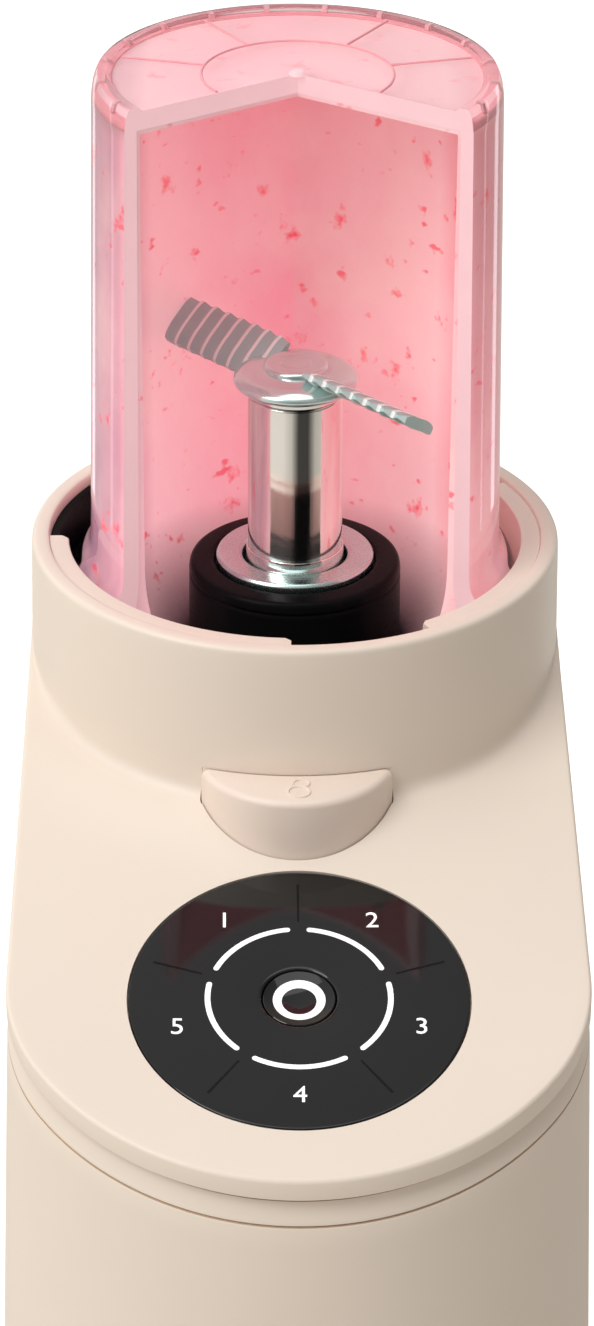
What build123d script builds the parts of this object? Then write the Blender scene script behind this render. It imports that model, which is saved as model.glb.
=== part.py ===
from build123d import *
import os
from math import acos, atan2, cos, degrees, hypot, radians, sin, sqrt, tan

# Counter-top ice cream maker, in millimetres. +Z is up, -Y is the front, where the controls are.
# The origin is on the table, under the middle of the body's footprint. A clear jar stands upside
# down in a collar. A column rises through the jar's base and lifts the turning blade in the mix.

# ---- driving dimensions ----
RIM_Z = 250.0            # top of the collar above the table
COLLAR_R = 57.5          # outside of the collar at its top
REAR_R = 58.0            # rear arc of the plan outline, round the column
FRONT_REACH = 152.06     # column axis to the front of the body
HALF_WIDTH = 59.6        # widest half width of the deck
FRONT_R = 63.7           # front arc of the outline
CORNER_R = 41.5          # arcs that join the front arc to the sides
BODY_DRAFT = 0.0366      # growth of the housing's outline for each mm of fall
WALL = 2.6
DECK_SLOPE = 15.9        # degrees, falling to the front
DECK_DROP = 23.3         # deck below the rim, at the column axis
DECK_THICK = 3.0
LIP_DROP = 4.55          # lip, then a groove, then the parting line, all measured down from the deck
GROOVE_DROP = 5.9
PARTING_DROP = 10.97
GROOVE_DEPTH = 1.15
FOOT_HEIGHT = 5.0
JAR_HEIGHT = 105.95      # jar's base above the rim
JAR_R = 42.85            # jar just under its base
JAR_LOW_R = 44.6         # jar at the rim
JAR_WALL = 3.0
JAR_BASE = 5.0
CUT_HALF_ANGLE = 55.7    # half of the wedge cut out of the jar; 0 leaves the jar whole
NOTCH_ANGLE = 33.0       # bayonet notches in the collar
NOTCH_CENTRE = -75.0     # first notch, from +X towards +Y
NOTCH_R = 51.9
LUG_ANGLE = 30.0
TWIST_MAX = 36.0         # turn of the jar from its entry to its stop
SKIRT_R = 55.1           # collar's skirt inside the housing
PANEL_R = 34.8
PANEL_REACH = 105.97     # column axis to the panel's centre, level
COLUMN_R = 10.3
BLADE_R = 38.5
BLADE_ANGLE = -47.4      # direction of the first arm, from +X towards +Y
BLADE_PITCH = -30.0
ROD_X = 43.0             # guide rods, left and right of the column
SCREW_Y = -44.0          # lead screw, in front of the column
FIT = 0.05               # running clearance on a radius
GAP = 0.3                # clearance between pieces that pass each other

# ---- derived values ----
AXIS_Y = (FRONT_REACH - REAR_R) / 2
SLOPE = tan(radians(DECK_SLOPE))
DECK_Z = RIM_Z - DECK_DROP
CORNER_X = HALF_WIDTH - CORNER_R
FRONT_C = FRONT_R - FRONT_REACH
CORNER_Y = FRONT_C - sqrt((FRONT_R - CORNER_R) ** 2 - CORNER_X ** 2)
FRONT_HALF = degrees(atan2(CORNER_X, FRONT_C - CORNER_Y))
SIDE_LEAN = degrees(
    acos((REAR_R - CORNER_R) / hypot(CORNER_X, CORNER_Y)) + atan2(CORNER_Y, CORNER_X)
)
SKIRT_LOW = RIM_Z - 46.0
FRONT_PARTING_Z = DECK_Z - SLOPE * FRONT_REACH - PARTING_DROP
BASE_GROW = BODY_DRAFT * (FRONT_PARTING_Z - FOOT_HEIGHT)
REAR_BOSS = REAR_R + BASE_GROW - 6.8    # column axis to the rear screw bosses
BOSS_R = CORNER_R - 0.8                 # corner centres to the front screw bosses
PLATE_TOP = RIM_Z - 121.0        # carriage plate at rest
UPPER_PLATE_Z = RIM_Z - 60.0     # underside of the upper chassis plate
LOWER_PLATE_Z = 12.0             # underside of the lower chassis plate
COLUMN_TOP = RIM_Z + 33.0
CAP_Z = RIM_Z + 34.9             # underside of the blade cap
LOCK_RING_TOP = RIM_Z - 12.3
LOCK_RING_LOW = RIM_Z - 38.0
WELL_FLOOR = RIM_Z - 44.0
BUTTON_TOP = RIM_Z - 29.07
BUTTON_LOW = RIM_Z - 60.0
BUTTON_FRONT = -69.8             # front of the release button, from the column axis
BUTTON_HALF = 20.5
BUTTON_CHORD = -54.3

PANEL_Z = DECK_Z - SLOPE * PANEL_REACH
UPRIGHT = (Align.CENTER, Align.CENTER, Align.MIN)


def level(z):
    """A level plane whose centre is the column axis."""
    return Plane(origin=(0, AXIS_Y, z))


def deck_plane(drop):
    """The deck's plane, lowered straight down by drop."""
    lean = radians(DECK_SLOPE)
    return Plane(origin=(0, AXIS_Y, DECK_Z - drop), x_dir=(1, 0, 0), z_dir=(0, -sin(lean), cos(lean)))


def panel_plane(depth):
    """A plane parallel to the deck under the panel's centre, depth below it along its normal."""
    lean = radians(DECK_SLOPE)
    normal = Vector(0, -sin(lean), cos(lean))
    return Plane(
        origin=Vector(0, AXIS_Y - PANEL_REACH, PANEL_Z) - normal * depth,
        x_dir=(1, 0, 0),
        z_dir=normal,
    )


def turn(*points, mode=Mode.ADD, offset=(0, 0)):
    """Revolve a closed outline of (radius, height) points about a vertical axis."""
    x, y = offset
    section = Plane(origin=(x, AXIS_Y + y, 0), x_dir=(1, 0, 0), z_dir=(0, -1, 0))
    with BuildSketch(section, mode=Mode.PRIVATE) as profile:
        with BuildLine():
            Polyline(*points, close=True)
        make_face()
    revolve(profile.sketch, axis=Axis((x, AXIS_Y + y, 0), (0, 0, 1)), mode=mode)


def tube(inner, outer, low, high, mode=Mode.ADD, offset=(0, 0)):
    """A plain ring between two radii and two heights."""
    turn((inner, low), (outer, low), (outer, high), (inner, high), mode=mode, offset=offset)


def post(radius, low, high, at, mode=Mode.ADD):
    """An upright cylinder; at is its place from the column axis."""
    with Locations((at[0], AXIS_Y + at[1], low)):
        Cylinder(radius, high - low, align=UPRIGHT, mode=mode)


def brick(size, low, high, at, mode=Mode.ADD):
    """An upright block; at is its centre from the column axis."""
    with Locations((at[0], AXIS_Y + at[1], low)):
        Box(size[0], size[1], high - low, align=UPRIGHT, mode=mode)


def sector(centre, width, radius, low, high, inner=0.0, mode=Mode.ADD):
    """A slice of a ring about the column, width degrees wide."""
    reach = 2 * radius
    half = reach * tan(radians(width / 2))
    with BuildSketch(level(low), mode=Mode.PRIVATE) as slice_plan:
        with Locations(Rotation(0, 0, centre)):
            Polygon((0, 0), (reach, -half), (reach, half), align=None)
        Circle(radius, mode=Mode.INTERSECT)
        if inner > 0:
            Circle(inner, mode=Mode.SUBTRACT)
    extrude(slice_plan.sketch, amount=high - low, mode=mode)


def wedge_plan():
    """The wedge cut out of the jar, open to the front."""
    reach = 120.0
    half = radians(CUT_HALF_ANGLE)
    with BuildSketch() as plan:
        Polygon(
            (0, 0),
            (-reach * sin(half), -reach * cos(half)),
            (0, -2 * reach),
            (reach * sin(half), -reach * cos(half)),
            align=None,
        )
    return plan.sketch


def latch_slot():
    """Cut the slot that the latch finger runs in, out of the piece being built."""
    brick((10.6, 9.4), RIM_Z - 43.5, RIM_Z - 32.5, (0, -56.0), mode=Mode.SUBTRACT)


def body_plan(grow):
    """Plan outline of the body, offset outwards by grow."""
    rear = REAR_R + grow
    corner = CORNER_R + grow
    lean = radians(SIDE_LEAN)
    start = (rear * cos(lean), rear * sin(lean))
    end = (CORNER_X + corner * cos(lean), CORNER_Y + corner * sin(lean))
    with BuildSketch() as plan:
        with BuildLine():
            CenterArc((0, 0), rear, SIDE_LEAN, 180 - 2 * SIDE_LEAN)
            Line((-start[0], start[1]), (-end[0], end[1]))
            CenterArc((-CORNER_X, CORNER_Y), corner, 180 - SIDE_LEAN, 90 - FRONT_HALF + SIDE_LEAN)
            CenterArc((0, FRONT_C), FRONT_R + grow, 270 - FRONT_HALF, 2 * FRONT_HALF)
            CenterArc((CORNER_X, CORNER_Y), corner, 270 + FRONT_HALF, 90 - FRONT_HALF + SIDE_LEAN)
            Line(end, start)
        make_face()
    return plan.sketch


def sloped_prism(grow, top_drop, bottom_drop):
    """An upright prism on the plan, between two planes parallel to the deck."""
    plan = body_plan(grow)
    with BuildPart() as prism:
        with BuildSketch(level(0)):
            add(plan)
        extrude(amount=RIM_Z + 40)
        split(bisect_by=deck_plane(top_drop), keep=Keep.BOTTOM)
        split(bisect_by=deck_plane(bottom_drop), keep=Keep.TOP)
    return prism.part


def drafted_prism(grow, base_z):
    """The housing's drafted solid, from the parting plane down to base_z."""
    slab = sloped_prism(grow, PARTING_DROP, PARTING_DROP + 20)
    upper = slab.faces().filter_by(lambda face: face.normal_at().Z > 0.5)[0]
    fall = FRONT_PARTING_Z - base_z
    plan = body_plan(grow + BODY_DRAFT * fall)
    with BuildSketch(level(base_z)) as low:
        add(plan)
    with BuildPart() as body:
        loft(sections=[upper, low.sketch.face()], ruled=True)
    return body.part


PIECES = {}


def keep(name, piece):
    """Label a finished piece and remember it for export."""
    piece.part.label = name
    PIECES[name] = piece


# ---- housing ----
BOSSES = [
    (side * REAR_BOSS * cos(radians(30)), REAR_BOSS * sin(radians(30))) for side in (-1, 1)
] + [
    (side * (CORNER_X + BOSS_R * cos(radians(45))), CORNER_Y - BOSS_R * sin(radians(45)))
    for side in (-1, 1)
]
housing_outer = drafted_prism(0, FOOT_HEIGHT)
housing_inner = drafted_prism(-WALL, FOOT_HEIGHT)
with BuildPart() as main_housing:
    add(housing_outer)
    add(housing_inner, mode=Mode.SUBTRACT)
    for place in BOSSES:
        post(4.5, 9, 40, place)
        post(2.0, 9, 30, place, mode=Mode.SUBTRACT)
    for row in range(7):
        brick((46 - 4 * abs(row - 3), 30), 84 + row * 8, 87.5 + row * 8, (0, REAR_R), mode=Mode.SUBTRACT)
    brick((24, 30), 22, 40, (0, REAR_R), mode=Mode.SUBTRACT)
keep("main_housing", main_housing)

# ---- top cover: deck and collar in one moulding ----
lip = sloped_prism(0, 0, LIP_DROP)
groove = sloped_prism(-GROOVE_DEPTH, LIP_DROP, GROOVE_DROP)
skirt = sloped_prism(-0.35, GROOVE_DROP, PARTING_DROP - 0.05)
hollow = sloped_prism(-WALL - GROOVE_DEPTH, DECK_THICK, 60)
button_sagitta = BUTTON_CHORD - BUTTON_FRONT
BUTTON_R = (BUTTON_HALF ** 2 + button_sagitta ** 2) / (2 * button_sagitta)
BUTTON_C = BUTTON_FRONT + BUTTON_R
with BuildPart() as collar:
    turn(
        (50, SKIRT_LOW - 20), (57.9, SKIRT_LOW - 20), (REAR_R - 0.1, DECK_Z), (COLLAR_R, RIM_Z - 1.2),
        (COLLAR_R - 1.0, RIM_Z), (50, RIM_Z),
    )
    split(bisect_by=deck_plane(DECK_THICK - 0.5), keep=Keep.TOP)
with BuildPart() as top_cover:
    add(lip)
    add(groove)
    add(skirt)
    add(hollow, mode=Mode.SUBTRACT)
    add(collar.part)
    tube(50, SKIRT_R, SKIRT_LOW, RIM_Z - 12)
    tube(0, SKIRT_R - 1.9, SKIRT_LOW - 60, RIM_Z - 12.0, mode=Mode.SUBTRACT)
    tube(0, 53.7, RIM_Z - 12.1, RIM_Z + 1, mode=Mode.SUBTRACT)
    with BuildSketch(level(DECK_Z - 80)):
        with Locations((0, BUTTON_C)):
            Circle(BUTTON_R + GAP)
        Circle(REAR_R, mode=Mode.SUBTRACT)
    extrude(amount=80, mode=Mode.SUBTRACT)
    latch_slot()
    with BuildSketch(panel_plane(2.1)):
        Circle(PANEL_R + 0.15)
    extrude(amount=8, mode=Mode.SUBTRACT)
    with BuildSketch(panel_plane(10)):
        Circle(PANEL_R - 2.8)
    extrude(amount=12, mode=Mode.SUBTRACT)
keep("top_cover", top_cover)

# ---- bayonet ring: the ledge inside the collar, with three entry notches ----
NOTCHES = [NOTCH_CENTRE + 120 * turn_no for turn_no in range(3)]
with BuildPart() as bayonet_ring:
    tube(49.4, 53.6, RIM_Z - 12, RIM_Z - 0.8)
    for centre in NOTCHES:
        sector(centre, NOTCH_ANGLE, NOTCH_R, RIM_Z - 13, RIM_Z, mode=Mode.SUBTRACT)
keep("bayonet_ring", bayonet_ring)

# ---- lock ring: carries the jar's lugs round under the bayonet ring ----
with BuildPart() as lock_ring:
    tube(49.5, 52.9, LOCK_RING_LOW, LOCK_RING_TOP)
    for centre in NOTCHES:
        sector(centre, LUG_ANGLE + 1.2, NOTCH_R, RIM_Z - 17.4, RIM_Z, mode=Mode.SUBTRACT)
    groove_centre = -90 - TWIST_MAX / 2
    sector(groove_centre, TWIST_MAX + 14, 56, LOCK_RING_LOW, RIM_Z - 32, inner=51.2, mode=Mode.SUBTRACT)
keep("lock_ring", lock_ring)

# ---- dock well: closes the collar's inside off from the mechanism ----
WELL_POSTS = [(46 * cos(radians(a)), 46 * sin(radians(a))) for a in (35, 145, 215, 325)]
with BuildPart() as dock_well:
    turn(
        (14, WELL_FLOOR - 3), (SKIRT_R, WELL_FLOOR - 3), (SKIRT_R, SKIRT_LOW - 0.1), (52.9, SKIRT_LOW - 0.1),
        (52.9, LOCK_RING_LOW - GAP), (50.0, LOCK_RING_LOW - GAP), (50.0, WELL_FLOOR), (17, WELL_FLOOR),
        (17, WELL_FLOOR + 3), (14, WELL_FLOOR + 3),
    )
    latch_slot()
    for place in WELL_POSTS:
        post(4.0, UPPER_PLATE_Z + 4, WELL_FLOOR - 3, place)
        post(1.5, UPPER_PLATE_Z + 4, WELL_FLOOR - 4, place, mode=Mode.SUBTRACT)
keep("dock_well", dock_well)

with BuildPart() as column_seal:
    turn(
        (COLUMN_R + FIT, WELL_FLOOR - 2), (14, WELL_FLOOR - 2), (14, WELL_FLOOR + 2),
        (COLUMN_R + 1.4, WELL_FLOOR + 2), (COLUMN_R + FIT, WELL_FLOOR + 3.4),
    )
keep("column_seal", column_seal)

# ---- chassis: two plates, guide rods and the lift drive ----
with BuildPart() as chassis_top_plate:
    tube(20, 54, UPPER_PLATE_Z, UPPER_PLATE_Z + 4)
    for side in (-1, 1):
        post(4.05, UPPER_PLATE_Z, UPPER_PLATE_Z + 4, (side * ROD_X, 0), mode=Mode.SUBTRACT)
    post(8, UPPER_PLATE_Z, UPPER_PLATE_Z + 4, (0, SCREW_Y), mode=Mode.SUBTRACT)
    for place in WELL_POSTS:
        post(1.7, UPPER_PLATE_Z, UPPER_PLATE_Z + 4, place, mode=Mode.SUBTRACT)
keep("chassis_top_plate", chassis_top_plate)

with BuildPart() as chassis_screws:
    for place in WELL_POSTS:
        post(1.45, UPPER_PLATE_Z, UPPER_PLATE_Z + 10, place)
        post(3.0, UPPER_PLATE_Z - 2, UPPER_PLATE_Z, place)
keep("chassis_screws", chassis_screws)

with BuildPart() as chassis_base_plate:
    post(51, LOWER_PLATE_Z, LOWER_PLATE_Z + 4, (0, 0))
    brick((70, 90), LOWER_PLATE_Z, LOWER_PLATE_Z + 4, (0, -90))
    for side in (-1, 1):
        post(4.05, LOWER_PLATE_Z, LOWER_PLATE_Z + 4, (side * ROD_X, 0), mode=Mode.SUBTRACT)
        post(5, FOOT_HEIGHT + 3.5, LOWER_PLATE_Z, (side * 30, 32))
        post(5, FOOT_HEIGHT + 3.5, LOWER_PLATE_Z, (side * 28, -124))
keep("chassis_base_plate", chassis_base_plate)

with BuildPart() as guide_rods:
    for side in (-1, 1):
        post(4.0, LOWER_PLATE_Z + 0.2, UPPER_PLATE_Z + 3.8, (side * ROD_X, 0))
keep("guide_rods", guide_rods)

with BuildPart() as screw_bearing:
    tube(4 + FIT, 8, UPPER_PLATE_Z, UPPER_PLATE_Z + 4, offset=(0, SCREW_Y))
keep("screw_bearing", screw_bearing)

with BuildPart() as lift_motor:
    post(13, LOWER_PLATE_Z + 4, 48, (0, SCREW_Y))
    post(6, 48, 49.5, (0, SCREW_Y))
    post(2.05, 30, 50, (0, SCREW_Y), mode=Mode.SUBTRACT)
keep("lift_motor", lift_motor)

with BuildPart() as lead_screw:
    post(4, 62, UPPER_PLATE_Z + 3.8, (0, SCREW_Y))
keep("lead_screw", lead_screw)

with BuildPart() as screw_coupling:
    post(7, 50.5, 62, (0, SCREW_Y))
    post(2.0, 32, 50.5, (0, SCREW_Y))
keep("screw_coupling", screw_coupling)

# ---- carriage: rides on the rods and carries the column and the blade motor ----
CARRIAGE_LOW = PLATE_TOP - 5
with BuildPart() as carriage_plate:
    with BuildSketch(level(CARRIAGE_LOW)):
        Circle(31)
        with Locations((-ROD_X, 0), (ROD_X, 0), (0, SCREW_Y)):
            Circle(9.5)
        make_hull()
    extrude(amount=5)
    post(10, CARRIAGE_LOW, PLATE_TOP, (0, 0), mode=Mode.SUBTRACT)
    for place in ((-ROD_X, 0), (ROD_X, 0), (0, SCREW_Y)):
        post(7, CARRIAGE_LOW, PLATE_TOP, place, mode=Mode.SUBTRACT)
keep("carriage_plate", carriage_plate)

with BuildPart() as rod_bushes:
    for side in (-1, 1):
        tube(4 + FIT, 7, CARRIAGE_LOW - 8, PLATE_TOP, offset=(side * ROD_X, 0))
keep("rod_bushes", rod_bushes)

with BuildPart() as lift_nut:
    tube(4 + FIT, 7, CARRIAGE_LOW - 8, PLATE_TOP, offset=(0, SCREW_Y))
keep("lift_nut", lift_nut)

with BuildPart() as lift_column:
    turn(
        (7.2, PLATE_TOP), (16, PLATE_TOP), (16, PLATE_TOP + 4), (COLUMN_R, PLATE_TOP + 4),
        (COLUMN_R, COLUMN_TOP), (7.2, COLUMN_TOP),
    )
keep("lift_column", lift_column)

with BuildPart() as column_bushes:
    tube(4 + FIT, 7.2, RIM_Z + 1, RIM_Z + 10)
    tube(4 + FIT, 7.2, PLATE_TOP + 4, PLATE_TOP + 16)
keep("column_bushes", column_bushes)

MOTOR_LOW = CARRIAGE_LOW - 54
with BuildPart() as motor_can:
    turn(
        (27, MOTOR_LOW), (29, MOTOR_LOW), (29, CARRIAGE_LOW), (12, CARRIAGE_LOW), (12, CARRIAGE_LOW - 2),
        (27, CARRIAGE_LOW - 2),
    )
keep("motor_can", motor_can)

with BuildPart() as motor_magnets:
    tube(22, 27, MOTOR_LOW + 8, CARRIAGE_LOW - 8)
keep("motor_magnets", motor_magnets)

with BuildPart() as motor_end_cap:
    tube(8, 29, MOTOR_LOW - 4, MOTOR_LOW)
    for angle in range(0, 360, 60):
        place = (18 * cos(radians(angle)), 18 * sin(radians(angle)))
        post(4, MOTOR_LOW - 5, MOTOR_LOW + 1, place, mode=Mode.SUBTRACT)
keep("motor_end_cap", motor_end_cap)

with BuildPart() as motor_bearings:
    tube(4 + FIT, 10, CARRIAGE_LOW, PLATE_TOP)
    tube(4 + FIT, 8, MOTOR_LOW - 4, MOTOR_LOW)
keep("motor_bearings", motor_bearings)

# ---- spindle: turns inside the column ----
DOG_Z = RIM_Z + 11
with BuildPart() as spindle:
    post(4, MOTOR_LOW - 15, DOG_Z, (0, 0))
keep("spindle", spindle)

with BuildPart() as drive_dog:
    post(6, DOG_Z, DOG_Z + 4, (0, 0))
    for centre in (0, 180):
        sector(centre, 50, 6, DOG_Z + 4, DOG_Z + 9.5, inner=2.5)
keep("drive_dog", drive_dog)

with BuildPart() as motor_rotor:
    tube(4, 20.5, MOTOR_LOW + 10, CARRIAGE_LOW - 10)
    for angle in range(0, 360, 30):
        place = (20.5 * cos(radians(angle)), 20.5 * sin(radians(angle)))
        post(1.4, MOTOR_LOW + 9, CARRIAGE_LOW - 9, place, mode=Mode.SUBTRACT)
keep("motor_rotor", motor_rotor)

FAN_LOW = MOTOR_LOW - 14
with BuildPart() as cooling_fan:
    tube(4, 9, FAN_LOW, FAN_LOW + 8)
    tube(9, 26, FAN_LOW + 6.5, FAN_LOW + 8)
    for angle in range(0, 360, 40):
        sector(angle, 5, 25.5, FAN_LOW, FAN_LOW + 6.5, inner=9)
keep("cooling_fan", cooling_fan)

# ---- blade: stands on the column, and comes out with the jar ----
with BuildPart() as carrier_bush:
    turn(
        (3 + FIT, RIM_Z + 26.2), (7.2 - FIT, RIM_Z + 26.2), (7.2 - FIT, COLUMN_TOP + GAP),
        (COLUMN_R, COLUMN_TOP + GAP), (COLUMN_R, CAP_Z - GAP), (3 + FIT, CAP_Z - GAP),
    )
keep("carrier_bush", carrier_bush)

with BuildPart() as blade_cap:
    turn(
        (3, CAP_Z), (12.4, CAP_Z), (13.66, CAP_Z + 0.7), (13.4, CAP_Z + 1.4), (11.2, CAP_Z + 2.3),
        (7.5, CAP_Z + 2.7), (3, CAP_Z + 2.7),
    )
keep("blade_cap", blade_cap)

BLADE_Z = CAP_Z + 2.7
with BuildPart() as cap_nut:
    turn(
        (0, BLADE_Z + 1.4), (6.9, BLADE_Z + 1.4), (6.9, BLADE_Z + 2.2), (6.2, BLADE_Z + 3.0),
        (0, BLADE_Z + 3.0),
    )
keep("cap_nut", cap_nut)

with BuildPart() as blade:
    for side in (0, 180):
        arm = Location((0, AXIS_Y, BLADE_Z), (0, 0, BLADE_ANGLE + side))
        with Locations(arm * Rotation(BLADE_PITCH, 0, 0)):
            Box(BLADE_R - 0.6, 11, 2.2, align=(Align.MIN, Align.CENTER, Align.CENTER))
    tube(0, 14.0, CAP_Z - 8, CAP_Z, mode=Mode.SUBTRACT)
    add(blade_cap.part, mode=Mode.SUBTRACT)
    tube(0, 6.95, BLADE_Z + 1.4, BLADE_Z + 9, mode=Mode.SUBTRACT)
    tube(3, 7.5, BLADE_Z, BLADE_Z + 1.4)
    tube(0, 3, CAP_Z - 2, BLADE_Z + 2, mode=Mode.SUBTRACT)
keep("blade", blade)

DRIVEN_Z = DOG_Z + 10
with BuildPart() as blade_shaft:
    post(3, DRIVEN_Z, BLADE_Z + 1.4, (0, 0))
    post(6, DRIVEN_Z, DRIVEN_Z + 4.5, (0, 0))
    for centre in (90, 270):
        sector(centre, 50, 6, DRIVEN_Z - 5.5, DRIVEN_Z, inner=2.5)
keep("blade_shaft", blade_shaft)

# ---- jar unit ----
wedge = wedge_plan()
NECK_TOP = RIM_Z - 11.5
JAR_TOP = RIM_Z + JAR_HEIGHT
JAR_INNER = JAR_R - JAR_WALL
with BuildPart() as jar:
    turn(
        (0, JAR_TOP - JAR_BASE), (JAR_INNER, JAR_TOP - JAR_BASE), (40.7, RIM_Z - 2), (42.0, RIM_Z - 10),
        (42.0, RIM_Z - 28.4), (45.5, RIM_Z - 28.4), (45.5, NECK_TOP), (48.3, NECK_TOP), (48.3, RIM_Z - 8),
        (47.5, RIM_Z - 5.5), (44.9, RIM_Z - 2.5), (JAR_LOW_R, RIM_Z), (JAR_R, JAR_TOP - 5),
        (42.6, JAR_TOP - 2.2), (41.6, JAR_TOP), (39.4, JAR_TOP), (38.6, JAR_TOP - 0.9), (0, JAR_TOP - 0.9),
    )
    with BuildSketch(level(NECK_TOP)):
        add(wedge)
    extrude(amount=JAR_HEIGHT + 20, mode=Mode.SUBTRACT)
keep("jar", jar)

with BuildPart() as frozen_mix:
    mix_top = JAR_TOP - JAR_BASE - FIT
    turn(
        (0, mix_top - 0.8), (39.1, mix_top - 0.8), (39.1, RIM_Z - 10), (41.9, RIM_Z - 10),
        (40.65, RIM_Z - 2), (JAR_INNER - FIT, mix_top), (0, mix_top),
    )
    with BuildSketch(level(NECK_TOP)):
        add(wedge)
    extrude(amount=JAR_HEIGHT + 20, mode=Mode.SUBTRACT)
keep("frozen_mix", frozen_mix)

BASE_FLOOR = RIM_Z - 29.5
with BuildPart() as jar_gasket:
    tube(41.5, 45.8, BASE_FLOOR, RIM_Z - 28.4)
keep("jar_gasket", jar_gasket)

with BuildPart() as blade_base:
    turn(
        (12.2, RIM_Z - 33), (15, RIM_Z - 33), (15, RIM_Z - 12), (20.5, RIM_Z - 12), (20.5, RIM_Z - 33),
        (49, RIM_Z - 33), (49, RIM_Z - 12), (45.9, RIM_Z - 12), (45.9, BASE_FLOOR), (23.2, BASE_FLOOR),
        (23.2, RIM_Z - 9), (22.6, RIM_Z - 7.6), (20.9, RIM_Z - 6.6), (17.4, RIM_Z - 6.6), (17.4, RIM_Z - 8),
        (12.2, RIM_Z - 8),
    )
    for centre in NOTCHES:
        sector(centre, LUG_ANGLE, NOTCH_R - GAP, RIM_Z - 17.1, RIM_Z - 12.4, inner=48.0)
keep("blade_base", blade_base)

with BuildPart() as hub_seal:
    turn(
        (COLUMN_R + FIT, RIM_Z - 20), (12.2, RIM_Z - 20), (12.2, RIM_Z - 9), (COLUMN_R + FIT, RIM_Z - 9),
        (COLUMN_R + FIT, RIM_Z - 12), (11.4, RIM_Z - 13), (11.4, RIM_Z - 16), (COLUMN_R + FIT, RIM_Z - 17),
    )
keep("hub_seal", hub_seal)

with BuildPart() as wiper_ring:
    turn(
        (COLUMN_R + FIT, RIM_Z - 9), (11.1, RIM_Z - 9), (11.1, RIM_Z - 7), (COLUMN_R + 0.25, RIM_Z - 4.4),
        (COLUMN_R + FIT, RIM_Z - 4.4),
    )
keep("wiper_ring", wiper_ring)

with BuildPart() as retaining_ring:
    turn(
        (11.6, RIM_Z - 8), (17.26, RIM_Z - 8), (17.26, RIM_Z - 5.5), (16.8, RIM_Z - 5.05),
        (12.0, RIM_Z - 5.05), (11.6, RIM_Z - 5.45),
    )
keep("retaining_ring", retaining_ring)

# ---- release button ----
with BuildPart() as release_button:
    with BuildSketch(level(BUTTON_LOW)):
        with Locations((0, BUTTON_C)):
            Circle(BUTTON_R)
        Circle(REAR_R + GAP, mode=Mode.SUBTRACT)
    extrude(amount=BUTTON_TOP - BUTTON_LOW)
    fillet(release_button.faces().sort_by(Axis.Z)[-1].edges(), radius=1.2)
    brick((32, 3.4), BUTTON_LOW + 6, BUTTON_LOW + 8, (0, BUTTON_FRONT + 1.4))
    brick((30, 8), BUTTON_LOW - 1, BUTTON_LOW + 9, (0, -63.0), mode=Mode.SUBTRACT)
keep("release_button", release_button)

with BuildPart() as latch_finger:
    brick((8, 9.5), RIM_Z - 37.0, RIM_Z - 33.0, (0, -56.4))
    add(release_button.part, mode=Mode.SUBTRACT)
keep("latch_finger", latch_finger)

SEAT_Z = RIM_Z - 74
with BuildPart() as button_bracket:
    brick((52, 16), SEAT_Z - 2, SEAT_Z, (0, -66))
    for side in (-1, 1):
        brick((2.4, 16), SEAT_Z, RIM_Z - 47.5, (side * 24.8, -66))
        post(2.2, SEAT_Z, SEAT_Z + 8, (side * 9, -63))
keep("button_bracket", button_bracket)

spring_low = SEAT_Z + 0.4
spring_high = BUTTON_LOW + 8.4
with BuildPart() as button_springs:
    for side in (-1, 1):
        with BuildLine(mode=Mode.PRIVATE) as coil:
            Helix(3.6, spring_high - spring_low, 3.0, center=(side * 9, AXIS_Y - 63, spring_low))
        with BuildSketch(Plane(origin=coil.line @ 0, z_dir=coil.line % 0), mode=Mode.PRIVATE) as wire:
            Circle(0.4)
        sweep(wire.sketch, path=coil.line)
keep("button_springs", button_springs)

# ---- control panel ----
with BuildPart() as panel_glass:
    with BuildSketch(panel_plane(2.1)):
        Circle(PANEL_R)
        Circle(8.3, mode=Mode.SUBTRACT)
    extrude(amount=2.2)
keep("panel_glass", panel_glass)

with BuildPart() as start_button:
    with BuildSketch(panel_plane(4.4)):
        Circle(8.0)
    extrude(amount=3.4)
    with BuildSketch(panel_plane(7.0)):
        Circle(2.4)
    extrude(amount=2.6)
keep("start_button", start_button)

with BuildPart() as light_guide:
    with BuildSketch(panel_plane(4.1)):
        Circle(29.5)
        Circle(10.5, mode=Mode.SUBTRACT)
    extrude(amount=2.0)
keep("light_guide", light_guide)

with BuildPart() as interface_board:
    with BuildSketch(panel_plane(13.2)):
        Circle(30.5)
    extrude(amount=1.6)
    with BuildSketch(panel_plane(11.6)):
        with PolarLocations(26, 5, start_angle=18):
            Circle(2.0)
    extrude(amount=7.5)
keep("interface_board", interface_board)

with BuildPart() as start_switch:
    with BuildSketch(panel_plane(11.6)):
        Rectangle(6.2, 6.2)
    extrude(amount=2.6)
    with BuildSketch(panel_plane(9.0)):
        Circle(1.7)
    extrude(amount=1.1)
keep("start_switch", start_switch)

# ---- electrics ----
BOARD_Y = -112.0
with BuildPart() as board_bracket:
    brick((76, 2), LOWER_PLATE_Z + 4, 128, (0, BOARD_Y))
    brick((76, 10), LOWER_PLATE_Z + 4, LOWER_PLATE_Z + 6, (0, BOARD_Y + 6))
    brick((56, 6), 32, 112, (0, BOARD_Y), mode=Mode.SUBTRACT)
keep("board_bracket", board_bracket)

with BuildPart() as control_board:
    brick((70, 1.6), 24, 124, (0, BOARD_Y - 1.8))
keep("control_board", control_board)

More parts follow.
